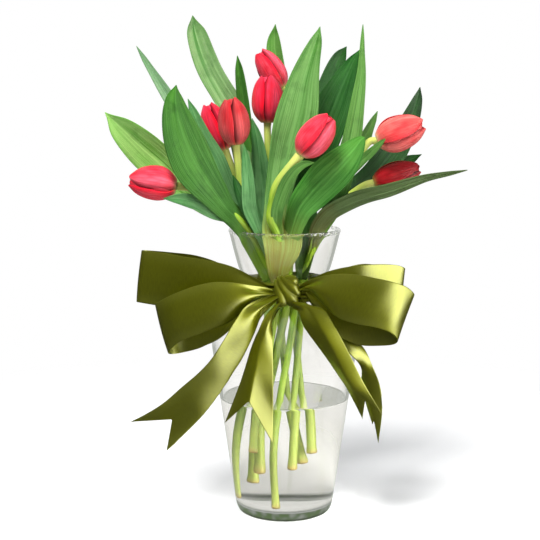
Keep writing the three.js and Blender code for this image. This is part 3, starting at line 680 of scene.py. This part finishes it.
# %% Leaves from root to tip
LEAVES = {  # finish, channel, which way the face looks, spine
    "1c": ("green", -0.16, (0.45, -1, 0), [(-16, -20, 238, 9), (-25, -23, 266, 18),
        (-33, -28, 286, 22), (-46, -36, 301, 20), (-56, -44, 311, 20), (-66, -51, 325, 27),
        (-76, -58, 340, 34), (-86, -62, 357, 38), (-95, -65, 379, 36), (-101, -66, 401, 27),
        (-103, -64, 418, 15), (-102, -61, 429, 3)]),
    "1x": ("outer side", 0.15, (0, -1, 0), [(-25, -22, 266, 6), (-34, -27, 284, 9),
        (-45, -32, 299, 11), (-58, -39, 305, 14), (-70, -46, 311, 17), (-84, -52, 318, 15),
        (-99, -58, 322, 11), (-115, -64, 323, 3)]),
    "2a": ("light", 0.16, (-0.3, -1, 0), [(-21, -1, 258, 6), (-31, -3, 281, 10), (-44, -4, 296, 12),
        (-58, -6, 303, 16), (-72, -7, 310, 21), (-95, -10, 328, 28), (-119, -14, 351, 35),
        (-138, -18, 368, 35), (-157, -24, 387, 25), (-173, -30, 403, 3)]),
    "2b": ("waxy side", 0.25, (0.5, -1, 0), [(-22, 2, 264, 6), (-31, 13, 284, 8),
        (-42, 19, 297, 10), (-53, 24, 308, 13), (-75, 30, 344, 15), (-100, 36, 389, 14),
        (-121, 40, 422, 11), (-136, 42, 446, 7), (-149, 42, 468, 3)]),
    "2s": ("outer side", 0.22, (0.25, -1, 0), [(-22, -2, 262, 6), (-30, -9, 280, 10),
        (-39, -13, 292, 13), (-48, -17, 304, 16), (-57, -22, 328, 20), (-67, -27, 355, 20),
        (-77, -30, 376, 16), (-86, -32, 398, 10), (-93, -33, 416, 3)]),
    "3u": ("outer side", 0.2, (0, -1, 0), [(-15, -28, 260, 6), (-22, -35, 280, 7),
        (-29, -38, 297, 11), (-34, -40, 313, 14), (-35, -42, 331, 13), (-37, -42, 353, 10),
        (-39, -41, 372, 3)]),
    "3v": ("deep", -0.15, (0, -1, 0), [(-14, -27, 257, 6), (-20, -33, 276, 6), (-27, -36, 291, 10),
        (-34, -38, 305, 12), (-42, -42, 323, 11), (-50, -44, 344, 3)]),
    "3t": ("outer side", 0.2, (0, -1, 0), [(-15, -26, 262, 6), (-15, -14, 280, 11),
        (-18, -8, 295, 15), (-21, -6, 310, 19), (-22, -7, 330, 20), (-24, -9, 351, 17),
        (-27, -9, 376, 11), (-32, -8, 397, 3)]),
    "4d": ("pale", 0.3, (0.35, -1, 0), [(-8, 11, 256, 6), (-14, 12, 276, 9), (-23, 13, 292, 14),
        (-33, 13, 311, 20), (-39, 17, 350, 24), (-46, 21, 384, 25), (-54, 24, 406, 25),
        (-63, 27, 421, 24), (-74, 31, 440, 24), (-83, 35, 461, 23), (-89.5, 38, 482, 19),
        (-92, 40, 498, 4)]),
    "4e": ("green", 0.3, (-0.4, -1, 0), [(-8, 11, 262, 6), (-14, 15, 283, 8), (-20, 19, 306, 10),
        (-26, 20, 330, 11), (-32, 19, 360, 12), (-37, 18, 389, 12), (-41, 19, 414, 12),
        (-44, 20, 439, 9), (-47, 22, 458, 3)]),
    "5f": ("fresh", 0.25, (-0.5, -1, 0), [(7, 27, 260, 6), (6, 36, 282, 10), (6, 44, 303, 12),
        (6, 50, 323, 14), (4, 58, 363, 15), (0, 67, 414, 16), (-6.5, 71, 447, 17),
        (-10, 73, 471, 14), (-9, 74, 491, 3)]),
    "5i": ("deep", 0.35, (0.5, -1, 0), [(8, 28, 264, 6), (12, 34, 284, 11), (17, 40, 304, 16),
        (23, 48, 343, 22), (35, 56, 393, 26), (47, 62, 434, 24), (55, 64, 455, 16),
        (64, 64, 468, 3)]),
    "6r": ("fresh", 0.35, (0, -1, 0), [(-3, -31, 268, 6), (-7, -39, 288, 9), (-8, -46, 302, 11),
        (-7, -51, 314, 12), (-1, -56, 333, 12), (7, -62, 347, 10), (17, -66, 355, 7),
        (27, -70, 357, 2.5)]),
    "6g": ("with a broad root", 0.2, (0.2, -1, 0), [(-7, -32, 236, 12), (-6, -38, 256, 24),
        (-3, -39, 276, 37), (-5, -31, 293, 37), (-8, -28, 311, 25), (-6, -27, 330, 27),
        (-2, -26, 351, 32), (4, -24, 376, 38), (11, -22, 401, 40), (17, -19, 430, 31),
        (23, -16, 451, 22), (30, -12, 471, 12), (34, -8, 485, 3)]),
    "6m": ("at the rim", -0.14, (-0.45, -1, 0), [(0, -26, 260, 7), (4, -33, 278, 14),
        (8, -38, 295, 20), (14, -42, 312, 25), (25, -43, 326, 31), (38, -44, 340, 35),
        (51, -46, 353, 32), (63, -48, 366, 23), (71, -50, 376, 11), (75, -51, 380, 4)]),
    "7k": ("fresh", 0.2, (0.5, -1, 0), [(25, -10, 262, 6), (31, -15, 280, 11), (39, -20, 298, 16),
        (48, -24, 318, 20), (56, -28, 348, 23), (63, -27, 376, 20), (69, -24, 411, 14),
        (73, -20, 440, 9), (74, -17, 465, 5), (75, -14, 487, 2.5)]),
    "7j": ("deep", 0.2, (-0.35, -1, 0), [(17, -10, 238, 10), (20, -7, 266, 20), (22, -2, 293, 23),
        (21, 0, 312, 25), (27, 4, 342, 33), (37, 8, 376, 38), (49, 12, 408, 36), (59, 16, 432, 24),
        (67, 20, 450, 13), (75, 24, 464, 3)]),
    "7o": ("underside", 0.15, (0, 0.65, 0.75), [(26, -10, 264, 6), (29, -17, 278, 12),
        (33, -22, 291, 17), (42, -26, 303, 22), (54, -29, 311, 25), (67, -31, 317, 26),
        (82, -32, 322, 25), (97, -32, 326, 22), (115, -31, 332, 18), (137, -28, 339, 13),
        (158, -24, 343, 9), (178, -20, 347, 3)]),
    "7p": ("fresh", 0.2, (0, -1, 0), [(57, -15, 333, 5), (64, -20, 344, 8), (72, -24, 354, 9),
        (84, -30, 366, 8), (96, -36, 378, 3)]),
    "8n": ("dark", 0.18, (0.4, -1, 0), [(25, 11, 262, 6), (32, 16, 281, 10), (42, 20, 298, 13),
        (54, 23, 311, 17), (69, 26, 323, 22), (89, 30, 339, 27), (105, 34, 357, 29),
        (117, 37, 375, 26), (128, 39, 397, 19), (134, 40, 414, 11), (137, 40, 427, 3)]),
    "8l": ("fresh", 0.25, (0.5, -1, 0), [(25, 11, 266, 6), (33, 18, 285, 9), (42, 21, 300, 11),
        (51, 22, 316, 12), (66, 28, 345, 13), (78, 31, 370, 13), (86, 33, 387, 9),
        (94, 34, 403, 3)]),
    "8q": ("dark", 0.2, (0, -1, 0), [(28, 12, 270, 6), (36, 19, 288, 9), (46, 22, 301, 11),
        (58, 25, 312, 14), (79, 32, 328, 18), (102, 38, 341, 18), (123, 42, 351, 13),
        (140, 42, 359, 3)]),
}
print("leaves:", len(LEAVES))

# %% [markdown]
# ## Stems
#
# A stem is a soft tube along a smooth line. It starts as the same flat grid, rolled up round that
# line and closed along its seam. It swells a little under the bloom, has faint ridges and flares
# unevenly at its cut foot, which is closed.

# %% Stems
STEM_RADIUS = 3.6
THICK = {"tulip_6": 1.2}
BLOOM_NECK = 10.0
STEM_IN_BLOOM = 3.0
STEM_AROUND = 14
STEM_ALONG = 90
NECK_SWELL, FOOT_SWELL, RIDGES = 0.12, 0.3, 0.03


def stem_points(name):
    """The last stretch of a stem runs straight into its bloom and ends between the petals."""
    *lower, top = STEMS[name]
    base = Vector(top)
    axis = (Vector(BUDS[name][0]) - base).normalized()
    return lower + [tuple(base - axis * BLOOM_NECK), tuple(base + axis * STEM_IN_BLOOM)]


def rings_along(points, count):
    """Centre and two cross directions at even steps, carried along without twisting."""
    centres = [Vector(smooth_row(points, k / count)) for k in range(count + 1)]
    rings = []
    side = Vector((1, 0, 0))
    for k, centre in enumerate(centres):
        ahead = (centres[min(k + 1, count)] - centres[max(k - 1, 0)]).normalized()
        side = (side - ahead * side.dot(ahead)).normalized()
        rings.append((centre, side.copy(), ahead.cross(side)))
    return rings


def make_stem(name):
    rings = rings_along(stem_points(name), STEM_ALONG)
    radius = STEM_RADIUS * THICK.get(name, 1)
    phase = 40 * STEMS[name][0][0]

    def point_at(u, v):
        centre, side, other = rings[round(u * STEM_ALONG)]
        angle = math.pi * v
        neck = NECK_SWELL * math.exp(-((u - 0.98) / 0.03) ** 2)
        foot = FOOT_SWELL * math.exp(-((u / 0.012) ** 2)) * (1 + 0.3 * math.sin(5 * angle + phase))
        reach = radius * (1 + neck + RIDGES * math.sin(3 * angle + 8 * u) + foot)
        return centre + side * (reach * math.cos(angle)) + other * (reach * math.sin(angle))

    work = new_work()
    strip_mesh(work, STEM_ALONG, STEM_AROUND, point_at)
    merge(work)
    bmesh.ops.holes_fill(work, edges=[e for e in work.edges if e.is_boundary], sides=0)
    bmesh.ops.recalc_face_normals(work, faces=work.faces)
    piece(f"{name}_stem", work, STEM, f"{name}_leafy_stem")


for name in STEMS:
    make_stem(name)
print("stems:", len(STEMS))

# %% [markdown]
# ## Leaves
#
# A tulip leaf is a long blade that clasps the stem at its root and ends in a point. It is folded
# into a shallow channel with a crease along the middle, and its edges ripple slowly. All of that is
# part of how far a point of the grid is lifted off the leaf's middle line. The finer ripples come
# from a seeded draw, so they are the same in every run.

# %% Leaves
LEAF_ROWS = 36
LEAF_COLUMNS = 10
LEAF_THICKNESS = 0.8
POINTED = 0.07
THINNEST = 0.2
CREASE, CREASE_WIDTH = 0.55, 0.09
RIPPLE, FINE_RIPPLE, IN_OUT = 0.04, 0.035, 0.025


def make_leaf(key, finish, cup, look, rows, seed):
    draw = random.Random(seed)
    phases = [draw.uniform(0, 2 * math.pi) for _ in range(3)]
    spread = math.hypot(1, look[0])
    look = Vector(look).normalized()

    def middle(u):
        return Vector(smooth_row(rows, u)[:3])

    def point_at(u, v):
        point = min(1.0, (1 - u) / POINTED) ** 0.6
        half = max(spread * smooth_row(rows, u)[3] / 2 * point, THINNEST)
        ahead = (middle(min(u + 0.02, 1)) - middle(max(u - 0.02, 0))).normalized()
        side = ahead.cross(look).normalized()
        normal = side.cross(ahead)
        left, edge = v <= 0, abs(v) ** 3
        channel = cup * (0.35 * math.sqrt(v * v + 0.01) + 0.65 * v * v)
        ripple = RIPPLE * math.sin(4 * math.pi * u + 2 * left) * v * v
        fine = FINE_RIPPLE * edge * math.sin(17 * u + phases[0] + phases[1] * left)
        out = 1 + IN_OUT * edge * math.sin(23 * u + phases[2] + 1.7 * left)
        crease = CREASE * math.exp(-((v / CREASE_WIDTH) ** 2)) * min(1, half / 6)
        lift = half * (channel + ripple + fine) - crease * math.copysign(1, cup)
        return middle(u) + side * (half * v * out) + normal * lift

    work = new_work()
    strip_mesh(work, LEAF_ROWS, LEAF_COLUMNS, point_at)
    tulip = f"tulip_{key[0]}"
    piece(f"{tulip}_leaf_{key[1]}", work, LEAF_FINISHES[finish], f"{tulip}_leafy_stem",
          LEAF_THICKNESS)


for seed, (key, leaf) in enumerate(LEAVES.items(), 1):
    make_leaf(key, *leaf, seed)
print("leaves:", len(LEAVES))

# %% [markdown]
# ## Blooms
#
# A closed bud has three outer and three inner petals, all alike, set sixty degrees apart. Each is
# part of a slim egg: broad below its middle and drawn in to a blunt tip. Real petals overlap like
# tiles, so one edge of each stands a little proud of its neighbour and the other edge dives under
# it. That step is the dark seam that runs up a tulip. The roll says how far the middle of the first
# petal is turned away from the viewer, so each bud shows its seam where the real one does.

# %% Blooms
BLOOM_GAP = 0.4
PETAL_THICKNESS = 0.6
PETAL_ROWS = 22
PETAL_COLUMNS = 14
INNER_DEPTH = 1.8
BUD_SHAPE = [  # radius, half width of an outer petal and of an inner one
    (0.3, 0.34, 0.2), (0.78, 0.9, 0.62), (0.98, 1.16, 0.9), (1.0, 1.18, 0.96), (0.92, 1.06, 0.9),
    (0.72, 0.78, 0.74), (0.3, 0.16, 0.3)]
TILE_STEP = 0.07
SEAM_DIP = 0.15
MIDDLE_DIP = 0.03
BLUNTNESS = 0.05


def make_bloom(name, tip, width, roll, finish, seed):
    base, tip = Vector(STEMS[name][-1]), Vector(tip)
    length = (tip - base).length
    axis = (tip - base).normalized()
    front = (Vector((0, -1, 0)) + axis * axis.y).normalized()
    side = axis.cross(front)
    radius = width / 2 - PETAL_THICKNESS / 2
    draw = random.Random(seed)
    work = new_work()
    for k in range(6):
        inner = k % 2 == 1
        start, end = (0.12, 0.97) if inner else (0.03, 1.0)
        depth = INNER_DEPTH if inner else 0.0
        around = k * math.pi / 3 + math.radians(roll) + draw.uniform(-0.05, 0.05)
        end += draw.uniform(-0.05, 0.0)
        phase = draw.uniform(0, 6)

        def point_at(u, v):
            height = start + (end - start) * u
            broad, *halves = smooth_row(BUD_SHAPE, height)
            rho = radius * broad - depth
            half = (radius - depth) * halves[inner]
            edge = abs(v) ** 3
            full = math.sin(math.pi * min(1, 0.15 + height)) ** 0.5
            shape = 1 + TILE_STEP * v * full - SEAM_DIP * edge * (0.35 if v > 0 else 1.0)
            shape -= MIDDLE_DIP * math.exp(-((v / 0.12) ** 2)) * math.sin(math.pi * u)
            rho = rho * shape + 0.3 * edge * math.sin(9 * u + phase + (2 if v > 0 else 0))
            rho = max(rho, 0.5)
            angle = around + v * min(half / max(rho, 1), 1.35)
            blunt = -BLUNTNESS * length * v * v * max(0, u - 0.6) / 0.4
            out = front * math.cos(angle) + side * math.sin(angle)
            return base + out * rho + axis * (BLOOM_GAP + height * length + blunt)

        strip_mesh(work, PETAL_ROWS, PETAL_COLUMNS, point_at)
    piece(f"{name}_petals", work, PETAL_FINISHES[finish], f"{name}_bloom", PETAL_THICKNESS)


for seed, (name, bud) in enumerate(BUDS.items()):
    make_bloom(name, *bud, seed)
print("blooms:", len(BUDS), "of six petals each")

# %% [markdown]
# ## Ribbon
#
# The bow is one wide satin ribbon: four loops, four tails with swallow-tail cuts, a band round the
# neck and a knot. Each loop and tail is drawn as three rails in millimetres: one edge, the middle
# line and the other edge. The middle rail is shorter at the cut end of a tail, which makes the
# notch.

# %% Rails of the loops and tails
RAILS = {
    "ribbon_loop_left_front": [
        [(-11.8, -57, 228), (-26, -68, 224), (-35, -76, 219), (-54, -83, 206), (-78, -85, 198),
         (-98, -82, 190), (-109.5, -72, 179), (-110.5, -60, 173), (-101, -51, 172), (-82, -46, 176),
         (-61, -47, 186), (-40, -47, 206), (-16, -45, 228)],
        [(-11.6, -57.5, 231), (-28, -71.5, 233), (-42, -80, 232), (-62, -84.5, 227),
         (-84, -86, 220), (-104, -83, 212), (-116, -71, 201), (-117.5, -60, 198), (-108, -50, 200),
         (-88, -47, 205), (-64, -46, 212), (-42, -45, 223), (-16, -44, 231)],
        [(-11.8, -57, 234), (-28, -67, 240), (-46, -76, 245), (-67, -80, 246), (-86, -82, 242),
         (-106, -80, 234), (-121, -70, 225), (-124, -60, 221), (-115, -52, 223), (-92, -50, 231),
         (-66, -48, 237), (-44, -46, 239), (-16, -45, 235)]],
    "ribbon_loop_left_back": [
        [(-17, -42, 229), (-34, -41, 223), (-54, -40, 216), (-77, -42, 214), (-100, -41, 215),
         (-121, -38, 216), (-139, -33, 218), (-145, -25, 218), (-138, -18, 218), (-118, -15, 218),
         (-90, -15, 218), (-64, -18, 220), (-46, -26, 224), (-31, -33, 229)],
        [(-17, -43, 233), (-35, -43, 236), (-55, -42, 238), (-78, -43, 240), (-102, -41, 241),
         (-121, -38, 243), (-137, -33, 244), (-142.5, -25, 244), (-136, -16, 244), (-118, -12, 243),
         (-90, -13, 241), (-66, -18, 240), (-49, -26, 238), (-31, -34, 234)],
        [(-17, -42, 237), (-34, -42, 247), (-53, -42, 256), (-77, -43, 262), (-98, -42, 265),
         (-116, -38, 268), (-134, -32, 269), (-140, -24, 269), (-132, -17, 268), (-112, -14, 266),
         (-88, -14, 263), (-66, -20, 257), (-50, -28, 249), (-31, -36, 239)]],
    "ribbon_loop_right_front": [
        [(14.2, -58.2, 232), (22, -66, 232), (34, -74, 223), (47, -80, 212), (63, -83, 207),
         (82, -83, 204), (98, -79.5, 198), (107, -71, 189), (104, -64, 183), (88, -61, 181),
         (70, -61, 182), (50, -61, 190), (34, -57, 206), (18, -50, 231)],
        [(14.2, -58.7, 235), (24, -69, 240), (37, -78, 238), (53, -83.5, 233), (72, -86, 229),
         (92, -85, 226), (107, -80.5, 219), (115, -69, 211), (109, -61, 206), (94, -57, 205),
         (72, -56, 208), (52, -55, 214), (36, -53, 222), (18, -49, 234)],
        [(13.8, -58.2, 238), (25, -66, 246), (39, -74, 252), (58, -80, 254), (80, -83, 251),
         (101, -80.5, 246), (115, -73, 240), (123, -64, 231), (114, -57, 229), (95, -54, 231),
         (74, -53, 235), (54, -52, 239), (37, -51, 241), (18, -49, 238)]],
    "ribbon_loop_right_back": [
        [(18, -41, 230), (32, -43, 224), (50, -44, 216), (70, -43, 211), (90, -37, 207),
         (106, -30, 204), (114, -23, 203), (111, -17, 204), (98, -14, 207), (78, -14, 212),
         (60, -20, 218), (46, -27, 223), (31, -34, 229)],
        [(18, -42, 234), (34, -44, 235), (52, -46, 235), (72, -45, 233), (92, -38, 231),
         (108, -31, 228), (116, -23, 227), (112, -16, 228), (100, -12, 230), (80, -12, 233),
         (62, -18, 236), (48, -27, 237), (32, -35, 234)],
        [(18, -41, 238), (34, -44, 248), (52, -46, 254), (73, -45, 257), (94, -38, 257),
         (110, -31, 255), (118, -23, 251), (113, -16, 250), (98, -12, 252), (78, -12, 254),
         (62, -19, 252), (48, -28, 248), (32, -36, 239)]],
    "ribbon_tail_left_outer": [
        [(-9, -60.4, 232), (-33, -85.5, 226), (-46, -94, 213), (-59, -97, 192), (-70, -97.5, 175),
         (-82, -98, 162), (-97, -97.5, 149), (-115, -95, 133), (-133, -91, 121), (-147, -87, 113)],
        [(-8.7, -60.9, 228.5), (-27, -82, 219), (-37, -88.5, 205), (-50, -91, 184),
         (-61, -92.5, 165), (-72, -92.5, 150), (-84, -92, 134), (-93, -91, 126), (-101, -90, 120),
         (-107, -89, 116)],
        [(-8.5, -60.3, 225), (-20, -75.5, 213), (-26, -80.5, 202), (-37, -82.5, 178),
         (-50, -84, 157), (-63, -85, 138), (-77, -86, 120), (-90, -86, 106), (-102, -85.5, 94),
         (-113, -85, 84)]],
    "ribbon_tail_left_inner": [
        [(-9, -60, 221.5), (-22, -74, 207), (-33, -77, 181), (-40, -78, 160), (-46, -77, 140),
         (-58, -73, 108)],
        [(-7, -59.5, 220.3), (-17, -81.5, 208), (-23.5, -87, 190), (-27.5, -90.5, 171),
         (-31, -93, 154), (-34.5, -95.5, 135)],
        [(-4, -58.5, 218.8), (-10.5, -78.5, 206), (-11.5, -85.5, 180), (-11.5, -88, 151),
         (-11.5, -85.5, 121), (-12, -84, 91)]],
    "ribbon_tail_right_inner": [
        [(4, -58.9, 219.2), (12, -68, 213), (18, -70, 200), (32, -72, 180), (48, -72, 157),
         (60, -71, 139), (74, -70, 110)],
        [(8, -59.5, 220.7), (22, -78, 221), (32, -86, 205), (44, -88, 183), (57, -86, 157),
         (67, -83, 143), (76, -79, 132)],
        [(11, -59.5, 223.2), (33, -76.7, 222), (46, -84.3, 205), (58, -86, 183), (69, -85.3, 160),
         (78, -83, 143), (93, -78, 117)]],
    "ribbon_tail_right_outer": [
        [(14.9, -51, 228), (47.5, -48, 196), (63, -48, 187), (76, -47, 177), (86, -47, 156),
         (92.5, -50, 137), (95, -48, 113), (92, -42, 79)],
        [(14.5, -52, 225), (42.5, -52, 192), (58, -52, 185), (71.5, -51, 174), (80, -46, 155),
         (83.5, -45, 134), (85, -45, 117), (87.5, -44, 103)],
        [(12.8, -53, 221), (37.5, -57, 186), (53.5, -58, 178), (66, -56, 168), (74, -46, 156),
         (74.5, -39, 139), (79, -39, 121), (86, -39, 97)]],
}
print("strips:", len(RAILS))

# %% [markdown]
# Satin hardly stretches, so where a strip is drawn narrower than the ribbon was cut, the width
# that is missing has gone somewhere. Most of it is tucked: one long edge is turned under and lies
# flat behind the face, as a ribbon does when it comes out of a knot. What is still missing goes
# into waves along the normal, just deep enough to use it up. So the strip is tightly gathered at
# the knot, and both effects fade by themselves as the ribbon opens. The table gives the number of
# waves at the knot and their phase, a loop's bulge, a tail's notch, how sharply the strip is
# creased along its middle rail, which edge is tucked, and the largest share that is.

# %% Pleated sheets
RIBBON_WIDTH = 48.0
RIBBON_THICKNESS = 0.45
RIBBON_ROWS = 72
RIBBON_COLUMNS = 32
LOOP_EASE = 0.88
FAR_WAVES = 0.5
DEEPEST, CALM = 8.0, 1.0
TUCK_GAP, TUCK_TURN = 1.4, 1.5
DRIFT = 0.5
STATIONS = 12
PLEATS = {  # waves, phase, bulge, notch, ridge, tuck, most tucked
    "ribbon_loop_left_front": (1.6, 0.5, 1, 0, 2, -1, 0.75),
    "ribbon_loop_left_back": (1.4, 0.4, 1.5, 0, 2, -1, 0.75),
    "ribbon_loop_right_front": (1.6, 0.5, 1, 0, 2, -1, 0.75),
    "ribbon_loop_right_back": (1.4, 0.4, 1, 0, 2, -1, 0.75),
    "ribbon_tail_left_outer": (1.6, 0.2, 0, 24, 2, 1, 0.75),
    "ribbon_tail_left_inner": (1.4, 0.0, 0, 30, 1.15, -1, 0.75),
    "ribbon_tail_right_inner": (1.4, 0.0, 0, 14, 1.2, -1, 0.75),
    "ribbon_tail_right_outer": (1.4, 0.0, 0, 12, 2, 1, 1.0),
}


def path_length(points):
    return sum((b - a).length for a, b in zip(points, points[1:]))


def rail_length(rail):
    return path_length([Vector(smooth_row(rail, k / 60)) for k in range(61)])


def make_ribbon(name, rails, waves, phase, bulge, notch, ridge, tuck, most):
    loop = "loop" in name
    width = RIBBON_WIDTH * (LOOP_EASE if loop else 1.0)

    def sheet_at(u, w):
        low, mid, high = (Vector(smooth_row(rail, u)) for rail in rails)
        cut = 0 if loop else u ** 4
        share = (1 - cut) * (1 - abs(w) ** ridge) + cut * (1 - abs(w))
        return low * ((1 - w) / 2 - share / 2) + high * ((1 + w) / 2 - share / 2) + mid * share

    def normal_at(u, w):
        step = 0.01
        along = sheet_at(min(u + step, 1), w) - sheet_at(max(u - step, 0), w)
        across = sheet_at(u, min(w + step, 1)) - sheet_at(u, max(w - step, -1))
        return along.cross(across).normalized()

    def near_knot(u, reach):
        end = min(u, 1 - u) if loop else u
        return math.exp(-((end / reach) ** 2))

    def waves_at(u):
        return FAR_WAVES + (waves - FAR_WAVES) * near_knot(u, 0.2)

    def fold_at(u):
        """Depth of the waves, share that is tucked, and the drawn width."""
        drawn = path_length([sheet_at(u, k / 4) for k in range(-4, 5)])
        tucked = min(most, max(0.0, width / drawn - 1))
        missing = max(0.0, width / (drawn * (1 + tucked)) - 1)
        depth = drawn / (math.pi * waves_at(u)) * missing / math.sqrt(missing + 0.06)
        depth = min(depth * (1 + 0.3 * missing), CALM + (DEEPEST - CALM) * near_knot(u, 0.25))
        return max(depth, bulge * math.sin(2 * math.pi * u) ** 2), tucked, drawn

    first = [fold_at(k / STATIONS) for k in range(STATIONS + 1)]
    table = []
    for k in range(STATIONS + 1):
        near = first[max(k - 1, 0):k + 2]
        table.append([sum(column) / len(near) for column in zip(*near)])
    if not loop:
        table[-1][:2] = 0, 0
    side = -1 if normal_at(0.4, 0).y > 0 else 1

    def point_at(u, v):
        depth, tucked, drawn = smooth_row(table, u)
        reach = (1 + tuck * v) / 2 * (1 + max(tucked, 0))
        under = max(0.0, reach - 1)
        w = tuck * (2 * (reach - 2 * under) - 1)
        wave = math.cos(math.pi * waves_at(u) * w + phase)
        drift = DRIFT * math.sin(3.1 * math.pi * u + 1.3 * w) * math.sin(math.pi * u)
        behind = TUCK_GAP * (1 - math.exp(-under * drawn / TUCK_TURN))
        return sheet_at(u, w) + normal_at(u, w) * (side * (depth * wave - behind) + drift)

    work = new_work()
    strip_mesh(work, RIBBON_ROWS, RIBBON_COLUMNS, point_at)
    cloth = sum(face.calc_area() for face in work.faces)
    ribbon = piece(f"{name}_satin", work, SATIN, name, RIBBON_THICKNESS)
    edges = rail_length(rails[0]), rail_length(rails[2])


for name, rails in RAILS.items():
    make_ribbon(name, rails, *PLEATS[name])

# %% [markdown]
# ## Band and knot
#
# The ribbon round the neck is gathered flat into close folds that run round the glass. The knot is
# the same ribbon pulled tight over itself, so it is a small lump with deep slanting folds.

# %% Band round the neck
BAND_LOW, BAND_HIGH = 220.5, 238.5
BAND_FOLDS = 5
BAND_GAP, BAND_DEPTH = 0.6, 3.2
BAND_AROUND, BAND_ACROSS = 120, 40


def neck_radius(z):
    for (r0, z0), (r1, z1) in zip(BELLY, BELLY[1:]):
        if z0 <= z <= z1:
            return r0 + (r1 - r0) * (z - z0) / (z1 - z0)


def make_band():
    def point_at(u, v):
        angle = 2 * math.pi * u - math.pi / 2
        share = (v + 1) / 2
        z = BAND_LOW + (BAND_HIGH - BAND_LOW) * share
        wander = 0.35 * math.sin(3 * angle + 2 * v)
        fold = 0.5 - 0.5 * math.cos(2 * math.pi * BAND_FOLDS * share + wander)
        reach = neck_radius(z) + BAND_GAP + BAND_DEPTH * fold
        z += 0.5 * math.sin(2 * angle)
        return Vector((reach * math.cos(angle), reach * math.sin(angle), z))

    work = new_work()
    strip_mesh(work, BAND_AROUND, BAND_ACROSS, point_at)
    merge(work)
    band = piece("ribbon_band_satin", work, SATIN, "ribbon_band", RIBBON_THICKNESS, 0)


make_band()
print("band:", BAND_FOLDS, "folds round the neck")

# %% Knot
KNOT_CENTRE = Vector((1.5, -53.7, 233))
KNOT_SIZE = Vector((27, 19, 32))
FAN_FROM = (-0.9, 1.25)
FAN_FOLDS = 8
FOLD_SHARE = 0.2


def make_knot():
    """An egg of satin whose front is pulled into folds that fan out from its upper left."""
    work = new_work()
    bmesh.ops.create_uvsphere(work, u_segments=96, v_segments=64, radius=1, calc_uvs=True)
    for vert in work.verts:
        out = vert.co.normalized()
        fan = math.atan2(out.z - FAN_FROM[1], out.x - FAN_FROM[0])
        fold = abs(math.sin(FAN_FOLDS * fan + 0.35 * math.sin(3 * out.z))) ** 0.7
        squared = sum(abs(c) ** 3 for c in out) ** (-1 / 3)
        place = out * squared * (1 - FOLD_SHARE + FOLD_SHARE * fold)
        vert.co = (KNOT_CENTRE + place * KNOT_SIZE / 2) * MM
    piece("ribbon_knot_satin", work, SATIN, "ribbon_knot", levels=0)


make_knot()
print("bow:", len(RAILS), "strips, a band and a knot")
